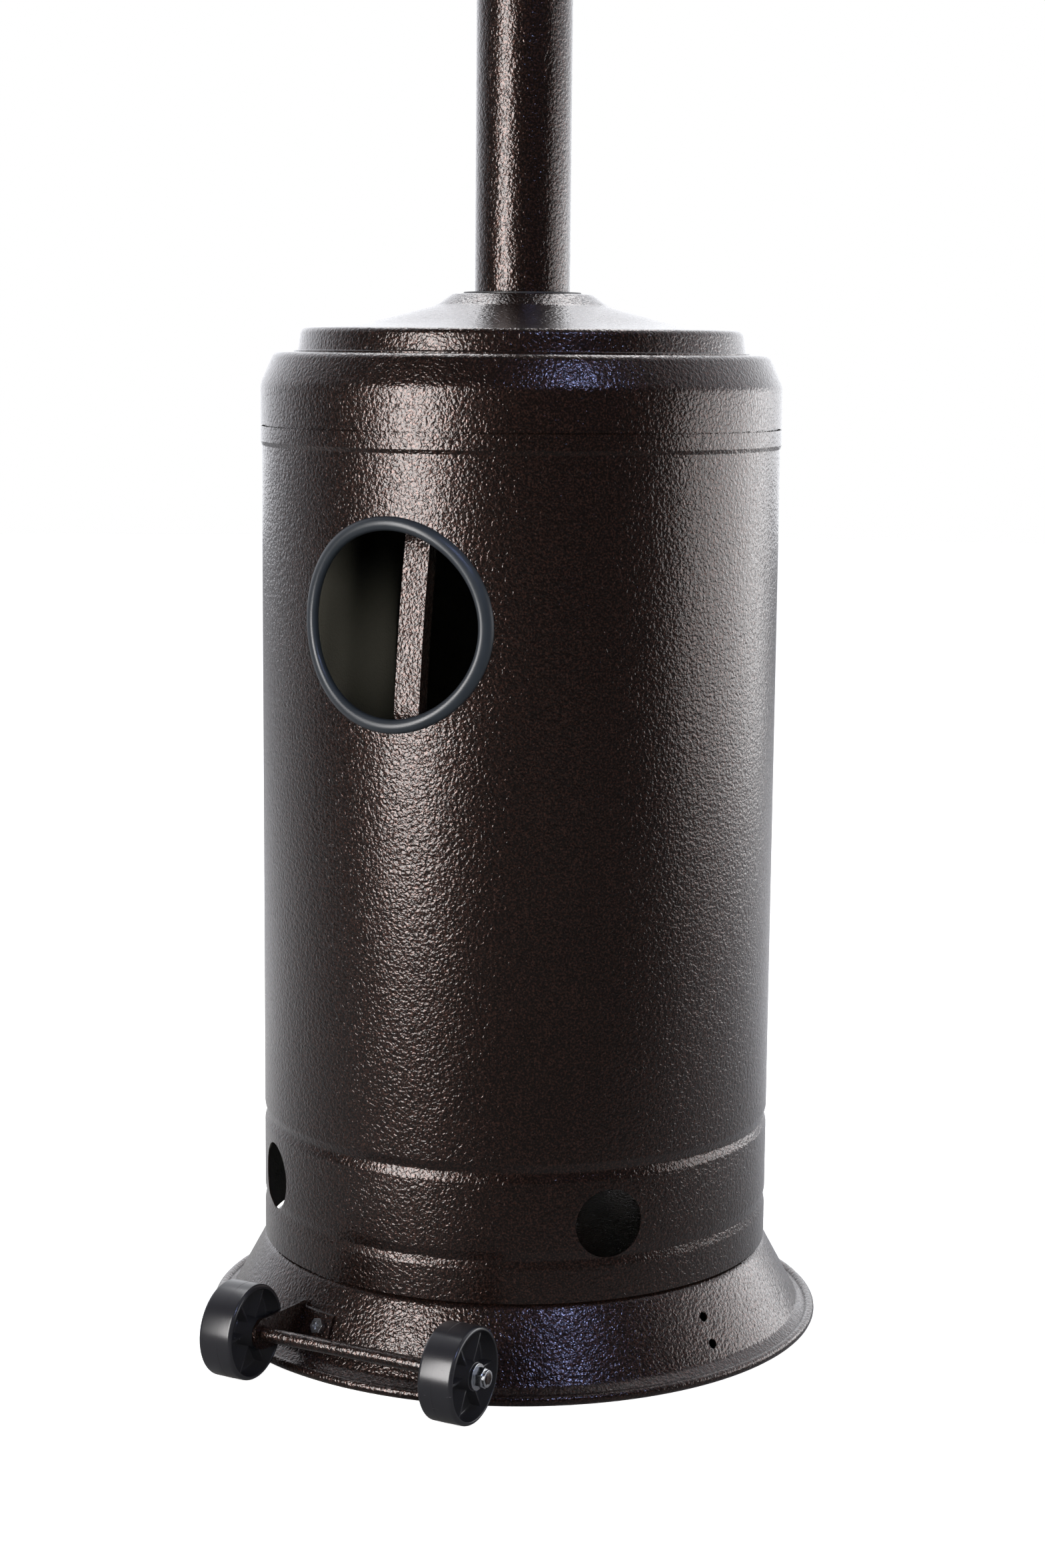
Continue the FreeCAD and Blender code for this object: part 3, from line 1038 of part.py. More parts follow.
# ---------------------------------------------------------------------------- build and write
def build():
    """Every node's shape by name."""
    nodes = {"base_pan": base_pan()}
    channel = leg()
    for name, azimuth in LEG_AZIMUTHS.items():
        nodes[name] = turned(channel, azimuth)
    foot_bolts, foot_nuts = leg_foot_fasteners()
    top_bolts, top_nuts = leg_top_fasteners()
    nodes["leg_foot_bolts"] = Part.makeCompound(foot_bolts)
    nodes["leg_foot_nuts"] = Part.makeCompound(foot_nuts)
    nodes["leg_top_bolts"] = Part.makeCompound(top_bolts)
    nodes["leg_top_nuts"] = Part.makeCompound(top_nuts)
    nodes["post_flange"] = post_flange()
    nodes["post"] = post().cut(head_screw_holes())
    nodes["housing_cylinder"] = housing_cylinder()
    nodes["hand_hole_trim"] = hand_hole_trim()
    nodes["housing_rest_tabs"] = housing_rest_tabs()
    nodes["housing_shoulder"] = housing_shoulder()
    nodes["housing_lid"] = housing_lid()
    nodes["post_bushing"] = post_bushing()
    nodes["wheel_right"] = placed_on_axle(wheel(), 1)
    nodes["wheel_left"] = placed_on_axle(wheel(), -1)
    nodes["wheel_axle"] = wheel_axle()
    nodes["wheel_bracket_right"] = bracket(1)
    nodes["wheel_bracket_left"] = bracket(-1)
    bracket_bolts, bracket_nuts = bracket_fasteners()
    nodes["bracket_bolts"] = Part.makeCompound(bracket_bolts)
    nodes["bracket_nuts"] = Part.makeCompound(bracket_nuts)
    nodes["axle_washers"] = axle_washers()
    nodes["axle_nuts"] = axle_nuts()
    nodes["head_flange"] = head_flange().cut(head_screw_holes())
    nodes["head_screws"] = head_screws()
    nodes["burner_skirt"] = burner_skirt()
    nodes["control_bezel"] = control_bezel()
    nodes["gas_valve"] = gas_valve()
    nodes["gas_inlet"] = gas_inlet()
    nodes["injector"] = injector()
    nodes["valve_spool"] = valve_spool()
    nodes["valve_stem"] = valve_stem()
    nodes["control_knob"] = control_knob()
    nodes["igniter_body"] = igniter_body()
    nodes["igniter_nut"] = igniter_nut()
    nodes["igniter_button"] = igniter_button()
    nodes["tilt_switch"] = tilt_switch()
    nodes["burner_plate"] = burner_plate()
    nodes["venturi"] = venturi()
    nodes["burner"] = burner()
    nodes["pilot_bracket"], nodes["thermocouple"], nodes["spark_electrode"] = pilot_parts()
    nodes["emitter_screen"] = emitter_screen()
    nodes["emitter_top"] = emitter_top()
    nodes["reflector_studs"] = reflector_studs()
    nodes["stud_nuts"] = stud_nuts()
    nodes["stud_spacers"] = stud_spacers()
    panel = reflector_panel()
    screws = seam_screws()
    for name, azimuth in PANEL_AZIMUTHS.items():
        nodes[name] = turned(panel, azimuth).cut(screws)
    nodes["reflector_cap"] = reflector_cap()
    nodes["seam_screws"] = Part.makeCompound(screws)
    nodes["wing_nuts"] = wing_nuts()
    return nodes


os.makedirs("parts", exist_ok=True)
for node, shape in build().items():
    if not shape.isValid() or not shape.Solids:
        raise ValueError(f"{node} is not a valid solid")
    shape.exportStep(f"parts/{node}.step")
    print(node, len(shape.Solids), round(shape.Volume / 1000.0, 2))
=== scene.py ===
"""Looks of a free-standing gas patio heater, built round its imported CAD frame.

Everything is in metres in the frame's own axes: the floor is at z = 0, the post stands on the Z axis and
the wheels, the hand hole and the controls face -Y. An azimuth is measured from -Y towards +X.
"""

import math

import bmesh
import bpy
from bpy.props import FloatProperty, FloatVectorProperty, IntProperty, PointerProperty
from mathutils import Matrix, Vector


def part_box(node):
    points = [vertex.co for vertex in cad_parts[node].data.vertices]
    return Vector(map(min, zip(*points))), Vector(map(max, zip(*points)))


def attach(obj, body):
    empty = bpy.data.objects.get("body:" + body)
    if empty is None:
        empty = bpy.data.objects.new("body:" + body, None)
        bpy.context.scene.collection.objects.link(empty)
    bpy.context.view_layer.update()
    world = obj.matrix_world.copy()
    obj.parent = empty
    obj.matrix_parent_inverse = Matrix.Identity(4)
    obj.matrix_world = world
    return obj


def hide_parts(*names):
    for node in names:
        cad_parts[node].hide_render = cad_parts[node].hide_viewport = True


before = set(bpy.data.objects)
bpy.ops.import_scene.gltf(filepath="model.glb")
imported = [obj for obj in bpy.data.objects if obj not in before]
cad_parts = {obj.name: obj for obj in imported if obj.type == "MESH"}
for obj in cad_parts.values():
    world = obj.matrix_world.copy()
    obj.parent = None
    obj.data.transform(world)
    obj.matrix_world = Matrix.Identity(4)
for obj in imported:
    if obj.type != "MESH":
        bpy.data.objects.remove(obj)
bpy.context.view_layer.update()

bl_info = {
    "name": "Patio Heater",
    "version": (1, 0, 0),
    "blender": (4, 5, 0),
    "location": "3D View > Sidebar > Heater",
    "description": "Builds the visible shells, wheels, burner head and finishes of a gas patio heater",
    "category": "Add Mesh",
}

UP = Vector((0, 0, 1))

# Places on the heater, and the clearances between its pieces.
SPARE_HOLE_AZIMUTH = 71.1
SPARE_HOLE_HEIGHTS = (0.038, 0.0205)
SPARE_HOLE_RADIUS = 0.0036
VENT_AZIMUTHS = (48.9, 138.9, 228.9, 318.9)
SEAM_GAP = 0.0012              # open seam between the cylinder and the shoulder
POST_WALL = 0.0015
SLIDE_CLEARANCE = 0.0005       # radial, between the post and its bushing
LID_BORE_CLEARANCE = 0.0026    # radial, between the post and the lid's hole
BUSH_SEAT_CLEARANCE = 0.0001
WHEEL_BORE = 0.00409
AXLE_END_RADIUS = 0.004
AXLE_SHOULDER_GAP = 0.0029     # from the shoulder of the axle to the wheel
RIB_HALF_THICKNESS = 0.0009
RIB_HALF_HEIGHT = 0.0092
CUTTER_REACH = 0.02            # how far a cutter stands out of the wall it cuts

# Angles over which an edge is drawn sharp.
SHELL_SHARP = math.radians(32)
REFINED_SHARP = math.radians(35)


# ------------------------------------------------------------------------------------------ measures
def low(node):
    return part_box(node)[0]


def high(node):
    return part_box(node)[1]


def size(name, text, default):
    return FloatProperty(name=name, description=text, default=default, min=0.0, precision=5,
                         subtype="DISTANCE", unit="LENGTH")


def colour(name, text, default):
    return FloatVectorProperty(name=name, description=text, default=default, size=3, min=0.0, max=1.0,
                               subtype="COLOR")


def turn(name, text, degrees):
    return FloatProperty(name=name, description=text, default=math.radians(degrees), subtype="ANGLE")


class HeaterSizes(bpy.types.PropertyGroup):
    """Sizes of the sheet-metal shells and of the moulded wheels."""

    segments: IntProperty(name="Segments", description="Steps in one full turn of a shell", default=192, min=24)
    base_sheet: size("Base sheet", "Thickness of the base pan", 0.0015)
    housing_sheet: size("Housing sheet", "Thickness of the housing's shells", 0.001)
    flare_angle: turn("Flare angle", "Slope of the base's flare from the vertical", 28.5)
    flare_top_radius: size("Flare top radius", "Radius where the flare meets the plane of the top", 0.187)
    flare_foot: size("Flare foot", "Height where the flare turns into the narrow flange", 0.0098)
    bead_radius: size("Bead radius", "Radius of the rolled rim", 0.0037)
    groove_half: size("Groove half height", "Half the height of a rolled groove", 0.0065)
    high_groove: size("High groove", "Height of the upper groove above the housing's edge", 0.0935)
    high_groove_depth: size("High groove depth", "Depth of the upper groove", 0.0020)
    low_groove: size("Low groove", "Height of the lower groove above the housing's edge", 0.031)
    low_groove_depth: size("Low groove depth", "Depth of the lower groove", 0.0012)
    band_height: size("Band height", "Height of the wider band under the seam", 0.0136)
    band_step: size("Band step", "How far the band stands proud", 0.001)
    hand_hole_radius: size("Hand hole radius", "Radius of the hole in the cylinder", 0.0675)
    trim_section: size("Trim section", "Diameter of the rubber trim", 0.010)
    vent_radius: size("Vent radius", "Radius of a gas vent", 0.0246)
    vent_height: size("Vent height", "Height of the vents above the housing's edge", 0.0554)
    shoulder_lean: size("Shoulder lean", "Height above the seam where the shoulder starts to lean in", 0.0292)
    shoulder_top_radius: size("Shoulder top radius", "Corner of the lean and the flat top", 0.1795)
    lid_radius: size("Lid radius", "Outside of the lid's skirt", 0.1623)
    lid_skirt: size("Lid skirt", "Height of the lid's upright skirt", 0.016)
    boss_foot_radius: size("Boss foot radius", "Radius where the lid starts to rise to its boss", 0.0625)
    boss_radius: size("Boss radius", "Radius of the boss's flat top", 0.0505)
    hub_proud: size("Hub proud", "How far a hub stands out on its inner side", 0.0026)
    hub_outer_proud: size("Hub outer proud", "How far a hub stands out on its outer side", 0.0003)
    wheel_rim: size("Wheel rim", "Thickness of the wheel's tread wall", 0.0032)
    wheel_hub: size("Wheel hub radius", "Radius of the wheel's hub", 0.010)
    wheel_web: size("Wheel web", "Thickness of the web between hub and tread", 0.0024)
    wheel_ribs: IntProperty(name="Wheel ribs", description="Ribs on each side of the web", default=6, min=3)


class HeaterFinish(bpy.types.PropertyGroup):
    """Colours and grain of the finishes."""

    enamel_ground: colour("Enamel ground", "Dark ground of the hammered enamel", (0.012, 0.0078, 0.0065))
    enamel_flake: colour("Enamel flake", "Bronze flake on the tops of the hammer cells", (0.085, 0.040, 0.030))
    overspray: colour("Overspray", "Thin dull coat on the hidden sides of the sheets", (0.085, 0.082, 0.070))
    hammer_cell: size("Hammer cell", "Width of one cell of the hammered surface", 0.0023)
    hammer_depth: size("Hammer depth", "Depth of the hammered surface", 0.00031)
    rubber: colour("Rubber", "Trim of the hand hole", (0.012, 0.015, 0.019))
    wheel: colour("Wheel plastic", "Moulded wheels", (0.012, 0.012, 0.014))
    moulding: colour("Black moulding", "Bezel, knob and bushing", (0.013, 0.013, 0.014))
    zinc: colour("Zinc", "Plated fasteners", (0.72, 0.74, 0.77))
    stainless: colour("Stainless", "Burner and emitter screen", (0.56, 0.54, 0.51))
    aluminium: colour("Aluminium", "Reflector", (0.80, 0.80, 0.79))
    brass: colour("Brass", "Gas fittings", (0.72, 0.52, 0.24))
    copper: colour("Copper", "Thermocouple", (0.70, 0.36, 0.22))
    ceramic: colour("Ceramic", "Spark electrode's insulator", (0.80, 0.77, 0.70))
    igniter: colour("Igniter", "Igniter's push button", (0.30, 0.016, 0.010))


class HeaterStudio(bpy.types.PropertyGroup):
    """Camera and lights."""

    camera_azimuth: turn("Camera azimuth", "Direction of the camera from the front", 28.35)
    camera_distance: size("Camera distance", "Level distance from the post's axis", 2.1109)
    camera_height: size("Camera height", "Height of the camera above the floor", 0.7187)
    camera_pan: turn("Camera pan", "Turn of the view to the right", 0.084)
    camera_tilt: turn("Camera tilt", "Slope of the view below level", 8.635)
    camera_roll: turn("Camera roll", "Turn of the camera about its own axis", 0.495)
    camera_lens: FloatProperty(name="Lens", description="Focal length in millimetres", default=65.96, min=1.0)
    key_power: FloatProperty(name="Key power", description="Watts of the tall soft box", default=74.0, min=0.0)
    blue_power: FloatProperty(name="Blue power", description="Watts of the cool high light",
                              default=26.0, min=0.0)
    side_power: FloatProperty(name="Side power", description="Watts of the panel on the right", default=34.0,
                              min=0.0)


def heater(context):
    """The three property groups of the scene."""
    scene = context.scene
    return scene.heater_sizes, scene.heater_finish, scene.heater_studio


# ------------------------------------------------------------------------------------------ sections
def rounded(points, radii, step=math.radians(9)):
    """Points of a path whose inner corners have arcs of the given radii."""
    path = [Vector(points[0])]
    for before, corner, after, radius in zip(points, points[1:], points[2:], radii):
        corner = Vector(corner)
        back = (Vector(before) - corner).normalized()
        ahead = (Vector(after) - corner).normalized()
        bend = math.pi - back.angle(ahead)
        if radius <= 0 or bend < 1e-5:
            path.append(corner)
            continue
        centre = corner + (back + ahead).normalized() * (radius / math.cos(bend / 2))
        first = corner + back * (radius * math.tan(bend / 2)) - centre
        side = 1 if back.x * ahead.y - back.y * ahead.x < 0 else -1
        count = max(2, math.ceil(bend / step))
        path += [centre + Matrix.Rotation(side * bend * k / count, 2) @ first for k in range(count + 1)]
    return path + [Vector(points[-1])]


def wall_section(points, radii, thickness):
    """The closed outline of a bent sheet that lies to the left of a path."""
    corners = [Vector(p) for p in points]
    normals = []
    for a, b in zip(corners, corners[1:]):
        along = (b - a).normalized()
        normals.append(Vector((-along.y, along.x)))
    moved, bends = [], []
    for i, corner in enumerate(corners):
        n1, n2 = normals[max(i - 1, 0)], normals[min(i, len(normals) - 1)]
        moved.append(corner + (n1 + n2) * (thickness / (1 + n1.dot(n2))))
        if 0 < i < len(corners) - 1:
            left_turn = n1.x * n2.y - n1.y * n2.x > 0
            grown = radii[i - 1] + (-thickness if left_turn else thickness)
            bends.append(max(grown, 0.0) if radii[i - 1] > 0 else 0.0)
    return rounded(points, radii) + rounded(moved, bends)[::-1]


def circle_section(radius, z, section, steps):
    """Points round a circle in the section plane."""
    return [Vector((radius + section * math.cos(math.tau * k / steps),
                    z + section * math.sin(math.tau * k / steps))) for k in range(steps)]


# ------------------------------------------------------------------------------------------ meshes
def spun(bm, section, steps, closed=True):
    """Spins a section of (radius, height) points a full turn about Z into bm."""
    verts = [bm.verts.new((p[0], 0, p[1])) for p in section]
    pairs = list(zip(verts, verts[1:])) + ([(verts[-1], verts[0])] if closed else [])
    edges = [bm.edges.new(pair) for pair in pairs]
    bmesh.ops.spin(bm, geom=verts + edges, cent=(0, 0, 0), axis=(0, 0, 1), dvec=(0, 0, 0),
                   angle=math.tau, steps=steps, use_merge=True)
    bmesh.ops.remove_doubles(bm, verts=bm.verts, dist=1e-7)
    bmesh.ops.dissolve_degenerate(bm, edges=bm.edges, dist=1e-8)


def bar(bm, start, end, radius, steps):
    """A capped round bar between two points."""
    axis = end - start
    made = bmesh.ops.create_cone(bm, cap_ends=True, segments=steps, radius1=radius, radius2=radius,
                                 depth=axis.length)["verts"]
    turn_to = UP.rotation_difference(axis).to_matrix().to_4x4()
    place = Matrix.Translation((start + end) / 2) @ turn_to
    bmesh.ops.transform(bm, matrix=place, verts=made)


def block(bm, lowest, highest, bevel):
    """A box between two corners, with rounded edges."""
    lowest, highest = Vector(lowest), Vector(highest)
    made = bmesh.ops.create_cube(bm, size=1.0)["verts"]
    scale = Matrix.Diagonal((highest - lowest).to_4d())
    scale[3][3] = 1.0
    bmesh.ops.transform(bm, matrix=Matrix.Translation((lowest + highest) / 2) @ scale, verts=made)
    edges = list({e for v in made for e in v.link_edges})
    bmesh.ops.bevel(bm, geom=edges, affect="EDGES", offset=bevel, segments=2, profile=0.5, material=-1)


def smooth(mesh, angle):
    mesh.shade_smooth()
    mesh.set_sharp_from_angle(angle=angle)


def piece(name, bm, body, material, nodes=(), sharp=SHELL_SHARP):
    """Turns bm into a finished piece that rides a body and stands for CAD nodes."""
    bmesh.ops.recalc_face_normals(bm, faces=bm.faces)
    mesh = bpy.data.meshes.new(name)
    bm.to_mesh(mesh)
    bm.free()
    smooth(mesh, sharp)
    made = bpy.data.objects.new(name, mesh)
    bpy.context.scene.collection.objects.link(made)
    mesh.materials.append(material)
    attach(made, body)
    if nodes:
        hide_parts(*nodes)
    return made


def carve(made, cutter):
    """Cuts the shape of a bmesh out of a piece and keeps the result in its mesh."""
    bmesh.ops.recalc_face_normals(cutter, faces=cutter.faces)
    tool_mesh = bpy.data.meshes.new("cutter")
    cutter.to_mesh(tool_mesh)
    cutter.free()
    tool = bpy.data.objects.new("cutter", tool_mesh)
    bpy.context.scene.collection.objects.link(tool)
    cut = made.modifiers.new("Cut", "BOOLEAN")
    cut.operation = "DIFFERENCE"
    cut.solver = "EXACT"
    cut.object = tool
    graph = bpy.context.evaluated_depsgraph_get()
    carved = bpy.data.meshes.new_from_object(made.evaluated_get(graph))
    made.modifiers.clear()
    name = made.data.name
    old = made.data
    made.data = carved
    bpy.data.meshes.remove(old)
    carved.name = name
    bpy.data.objects.remove(tool)
    bpy.data.meshes.remove(tool_mesh)
    smooth(made.data, SHELL_SHARP)


def mark_inside(made):
    """Stores 1 on the faces that look at the axis or down, which only get overspray."""
    mesh = made.data
    store = mesh.attributes.new("inside", "FLOAT", "FACE")
    for face, value in zip(mesh.polygons, store.data):
        radial = Vector((face.center.x, face.center.y, 0)).normalized()
        value.value = float(face.normal.dot(radial) < -0.3 or face.normal.z < -0.6)


def refined(name, node, body, material, bevel=0.0):
    """A merged and edge-softened copy of a CAD node, which it stands for."""
    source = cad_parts[node]
    bm = bmesh.new()
    bm.from_mesh(source.data)
    bmesh.ops.remove_doubles(bm, verts=bm.verts, dist=2e-6)
    bmesh.ops.dissolve_degenerate(bm, edges=bm.edges, dist=1e-7)
    bmesh.ops.dissolve_limit(bm, angle_limit=math.radians(0.8), verts=bm.verts, edges=bm.edges)
    made = piece(name, bm, body, material, [node], REFINED_SHARP)
    if bevel:
        soften = made.modifiers.new("Soft edges", "BEVEL")
        soften.width = bevel
        soften.segments = 2
        soften.limit_method = "ANGLE"
        soften.angle_limit = REFINED_SHARP
        soften.harden_normals = True
    return made


def azimuth_turn(azimuth):
    return Matrix.Rotation(math.radians(azimuth), 4, "Z")


def along_azimuth(radius, azimuth, z=0.0):
    return azimuth_turn(azimuth) @ Vector((0, -radius, z))


# ------------------------------------------------------------------------------------------ shaders
def set_ramp(ramp, stops):
    """Gives a colour ramp its (position, colour) stops."""
    while len(ramp.elements) < len(stops):
        ramp.elements.new(1.0)
    for element, (position, shade) in zip(ramp.elements, stops):
        element.position = position
        element.color = (*shade, 1.0)


class Wire:
    """A number or colour socket whose arithmetic adds Math nodes."""

    def __init__(self, graph, socket):
        self.graph = graph
        self.socket = socket

    def _math(self, operation, *values):
        return self.graph.node("ShaderNodeMath", {"operation": operation}, dict(enumerate(values)))["Value"]

    def __add__(self, other):
        return self._math("ADD", self, other)

    def __rsub__(self, other):
        return self._math("SUBTRACT", other, self)

    def __mul__(self, other):
        return self._math("MULTIPLY", self, other)

    __radd__ = __add__
    __rmul__ = __mul__


class Outputs:
    """A node's outputs by name."""

    def __init__(self, graph, node):
        self.graph = graph
        self.made = node

    def __getitem__(self, name):
        return Wire(self.graph, self.made.outputs[name])


class Finish:
    """A material under construction."""

    def __init__(self, name):
        self.material = bpy.data.materials.new(name)
        self.material.use_nodes = True
        self.tree = self.material.node_tree
        self.tree.nodes.clear()
        self.place = self.node("ShaderNodeTexCoord")["Object"]

    def node(self, kind, settings=None, sockets=None):
        made = self.tree.nodes.new(kind)
        for key, value in (settings or {}).items():
            if key == "ramp":
                set_ramp(made.color_ramp, value)
            else:
                setattr(made, key, value)
        for key, value in (sockets or {}).items():
            if isinstance(value, Wire):
                self.tree.links.new(value.socket, made.inputs[key])
            else:
                made.inputs[key].default_value = value
        return Outputs(self, made)

    def ramp(self, factor, *stops):
        """A number that follows the grey stops (position, value)."""
        shades = [(position, (value,) * 3) for position, value in stops]
        return self.node("ShaderNodeValToRGB", {"ramp": shades}, {"Fac": factor})["Color"]

    def noise(self, scale, detail=2.0, rough=0.5, distortion=0.0, place=None):
        sockets = {"Vector": place or self.place, "Scale": scale, "Detail": detail, "Roughness": rough,
                   "Distortion": distortion}
        return self.node("ShaderNodeTexNoise", {}, sockets)["Fac"]

    def cells(self, scale, feature="F1", smoothness=1.0):
        sockets = {"Vector": self.place, "Scale": scale}
        if feature == "SMOOTH_F1":
            sockets["Smoothness"] = smoothness
        return self.node("ShaderNodeTexVoronoi", {"feature": feature}, sockets)["Distance"]

    def attribute(self, name):
        """A number stored on the piece's own faces, 0 where a piece has none."""
        return self.node("ShaderNodeAttribute", {"attribute_name": name})["Fac"]

    def stretched(self, scale):
        """Object coordinates stretched by a factor along each axis."""
        return self.node("ShaderNodeMapping", {}, {"Vector": self.place, "Scale": scale})["Vector"]

    def mix(self, factor, a, b):
        """Colour a at factor 0 and b at factor 1."""
        made = self.tree.nodes.new("ShaderNodeMix")
        made.data_type = "RGBA"
        for index, value in ((0, factor), (6, a), (7, b)):
            if isinstance(value, Wire):
                self.tree.links.new(value.socket, made.inputs[index])
            else:
                made.inputs[index].default_value = (*value[:3], 1.0)
        return Wire(self, made.outputs[2])

    def bump(self, height, depth, strength):
        sockets = {"Height": height, "Distance": depth, "Strength": strength}
        return self.node("ShaderNodeBump", {}, sockets)["Normal"]

    def surface(self, **sockets):
        """Ends the material in a Principled shader. Socket names use _ for a space."""
        named = {key.replace("_", " "): value for key, value in sockets.items()}
        shader = self.node("ShaderNodeBsdfPrincipled", {}, named)["BSDF"]
        self.node("ShaderNodeOutputMaterial", {}, {"Surface": shader})
        return self.material


# ------------------------------------------------------------------------------------------ finishes
def hammered_enamel(look):
    """Dark bronze enamel that dried in small round cells, with flake that shows where light strikes."""
    f = Finish("hammered_bronze_enamel")
    fine = 1.0 / look.hammer_cell
    warp = f.noise(fine * 0.30, 2.0)
    cell = f.cells(fine * 0.90, "SMOOTH_F1", 0.75)
    grain = f.noise(fine * 0.95, 1.0, 0.5, 0.6)
    height = f.ramp(grain, (0.30, 0.0), (0.70, 1.0)) * 0.8 + (1.0 - cell) * 0.45 + warp * 0.4
    flake = f.ramp(f.noise(fine * 1.7, 2.0, 0.6), (0.47, 0.0), (0.70, 1.0))
    drift = f.noise(9.0, 3.0)
    ground = f.mix(drift, [c * 0.85 for c in look.enamel_ground], [c * 1.15 for c in look.enamel_ground])
    outside = 1.0 - f.attribute("inside")
    tone = f.mix(outside, look.overspray[:], f.mix(flake * 0.7, ground, look.enamel_flake[:]))
    rough = 0.22 + 0.09 * grain + 0.05 * drift + 0.3 * f.attribute("inside")
    relief = f.bump(height, look.hammer_depth, 0.9)
    return f.surface(Base_Color=tone, Metallic=outside * 0.8, Roughness=rough, Normal=relief,
                     Coat_Weight=outside * 0.8, Coat_Roughness=0.10, Coat_Normal=relief, Coat_IOR=1.45)


def trim_rubber(look):
    f = Finish("trim_rubber")
    cloud = f.noise(60.0, 3.0)
    dust = f.noise(900.0, 1.0)
    tone = f.mix(cloud, [c * 0.8 for c in look.rubber], [c * 1.3 for c in look.rubber])
    rough = 0.30 + 0.10 * cloud + 0.06 * dust
    return f.surface(Base_Color=tone, Roughness=rough, Normal=f.bump(dust, 0.00003, 0.5),
                     Specular_IOR_Level=0.6)


def wheel_plastic(look):
    """Black moulded plastic with a fine grain and a few pale scuffs."""
    f = Finish("moulded_wheel_plastic")
    grain = f.noise(1600.0, 2.0)
    streak = f.noise(220.0, 4.0, 0.7, 1.2, f.stretched((0.25, 1.0, 2.2)))
    patch = f.ramp(f.noise(45.0, 2.0), (0.52, 0.0), (0.68, 1.0))
    scuff = f.ramp(streak, (0.66, 0.0), (0.71, 1.0)) * patch
    tone = f.mix(scuff * 0.5, look.wheel[:], (0.16, 0.16, 0.17))
    rough = 0.19 + 0.07 * grain + 0.25 * scuff
    return f.surface(Base_Color=tone, Roughness=rough, Normal=f.bump(grain + 0.5 * scuff, 0.00004, 0.6),
                     Specular_IOR_Level=0.5)


def black_moulding(look):
    f = Finish("black_moulding")
    grain = f.cells(1100.0, "SMOOTH_F1", 0.8)
    cloud = f.noise(30.0, 2.0)
    tone = f.mix(cloud, [c * 0.85 for c in look.moulding], [c * 1.3 for c in look.moulding])
    return f.surface(Base_Color=tone, Roughness=0.38 + 0.12 * grain, Normal=f.bump(grain, 0.00005, 0.5))


def igniter_plastic(look):
    f = Finish("igniter_plastic")
    cloud = f.noise(90.0, 2.0)
    tone = f.mix(cloud, [c * 0.85 for c in look.igniter], [c * 1.15 for c in look.igniter])
    return f.surface(Base_Color=tone, Roughness=0.2 + 0.08 * cloud, Normal=f.bump(cloud, 0.00002, 0.4))


def zinc_plate(look):
    """Bright zinc with faint spangle and rubbed patches."""
    f = Finish("zinc_plate")
    spangle = f.cells(420.0)
    rub = f.noise(700.0, 3.0, 0.6)
    tone = f.mix(spangle, [c * 0.86 for c in look.zinc], [min(c * 1.08, 1.0) for c in look.zinc])
    return f.surface(Base_Color=tone, Metallic=1.0, Roughness=0.16 + 0.14 * rub,
                     Normal=f.bump(rub, 0.00003, 0.5))


def stainless_sheet(look):
    """Rolled stainless with a straw tint from heat."""
    f = Finish("stainless_sheet")
    roll = f.noise(240.0, 3.0, 0.6, 0.0, f.stretched((1.0, 1.0, 14.0)))
    heat = f.ramp(f.noise(9.0, 3.0), (0.40, 0.0), (0.68, 1.0))
    tone = f.mix(heat * 0.55, look.stainless[:], (0.50, 0.40, 0.28))
    return f.surface(Base_Color=tone, Metallic=1.0, Roughness=0.24 + 0.14 * roll,
                     Normal=f.bump(roll, 0.00004, 0.5))


def spun_aluminium(look):
    """Pressed aluminium with fine rings round the post's axis."""
    f = Finish("spun_aluminium")
    rings = f.node("ShaderNodeTexWave", {"wave_type": "RINGS", "rings_direction": "Z"},
                   {"Vector": f.place, "Scale": 260.0, "Distortion": 0.6, "Detail": 2.0})["Fac"]
    cloud = f.noise(11.0, 3.0)
    tone = f.mix(cloud, [c * 0.88 for c in look.aluminium], look.aluminium[:])
    rough = 0.24 + 0.07 * rings + 0.08 * cloud
    return f.surface(Base_Color=tone, Metallic=1.0, Roughness=rough, Normal=f.bump(rings, 0.00002, 0.35))


def cast_alloy(look):
    f = Finish("cast_alloy")
    sand = f.noise(900.0, 3.0, 0.6)
    tone = f.mix(f.noise(40.0, 2.0), (0.42, 0.42, 0.41), (0.56, 0.56, 0.55))
    return f.surface(Base_Color=tone, Metallic=0.9, Roughness=0.42 + 0.15 * sand,
                     Normal=f.bump(sand, 0.00008, 0.7))


def turned_metal(name, tint):
    """Brass or copper turned on a lathe."""
    f = Finish(name)
    cut = f.noise(1500.0, 2.0, 0.5, 0.0, f.stretched((0.2, 0.2, 2.0)))
    tarnish = f.noise(120.0, 3.0)
    tone = f.mix(tarnish, [c * 0.72 for c in tint], tint[:])
    return f.surface(Base_Color=tone, Metallic=1.0, Roughness=0.2 + 0.16 * tarnish,
                     Normal=f.bump(cut, 0.00002, 0.5))


def glazed_ceramic(look):
    f = Finish("glazed_ceramic")
    cloud = f.noise(160.0, 2.0)
    tone = f.mix(cloud, [c * 0.92 for c in look.ceramic], look.ceramic[:])
    return f.surface(Base_Color=tone, Roughness=0.14 + 0.1 * cloud, Normal=f.bump(cloud, 0.00002, 0.3))


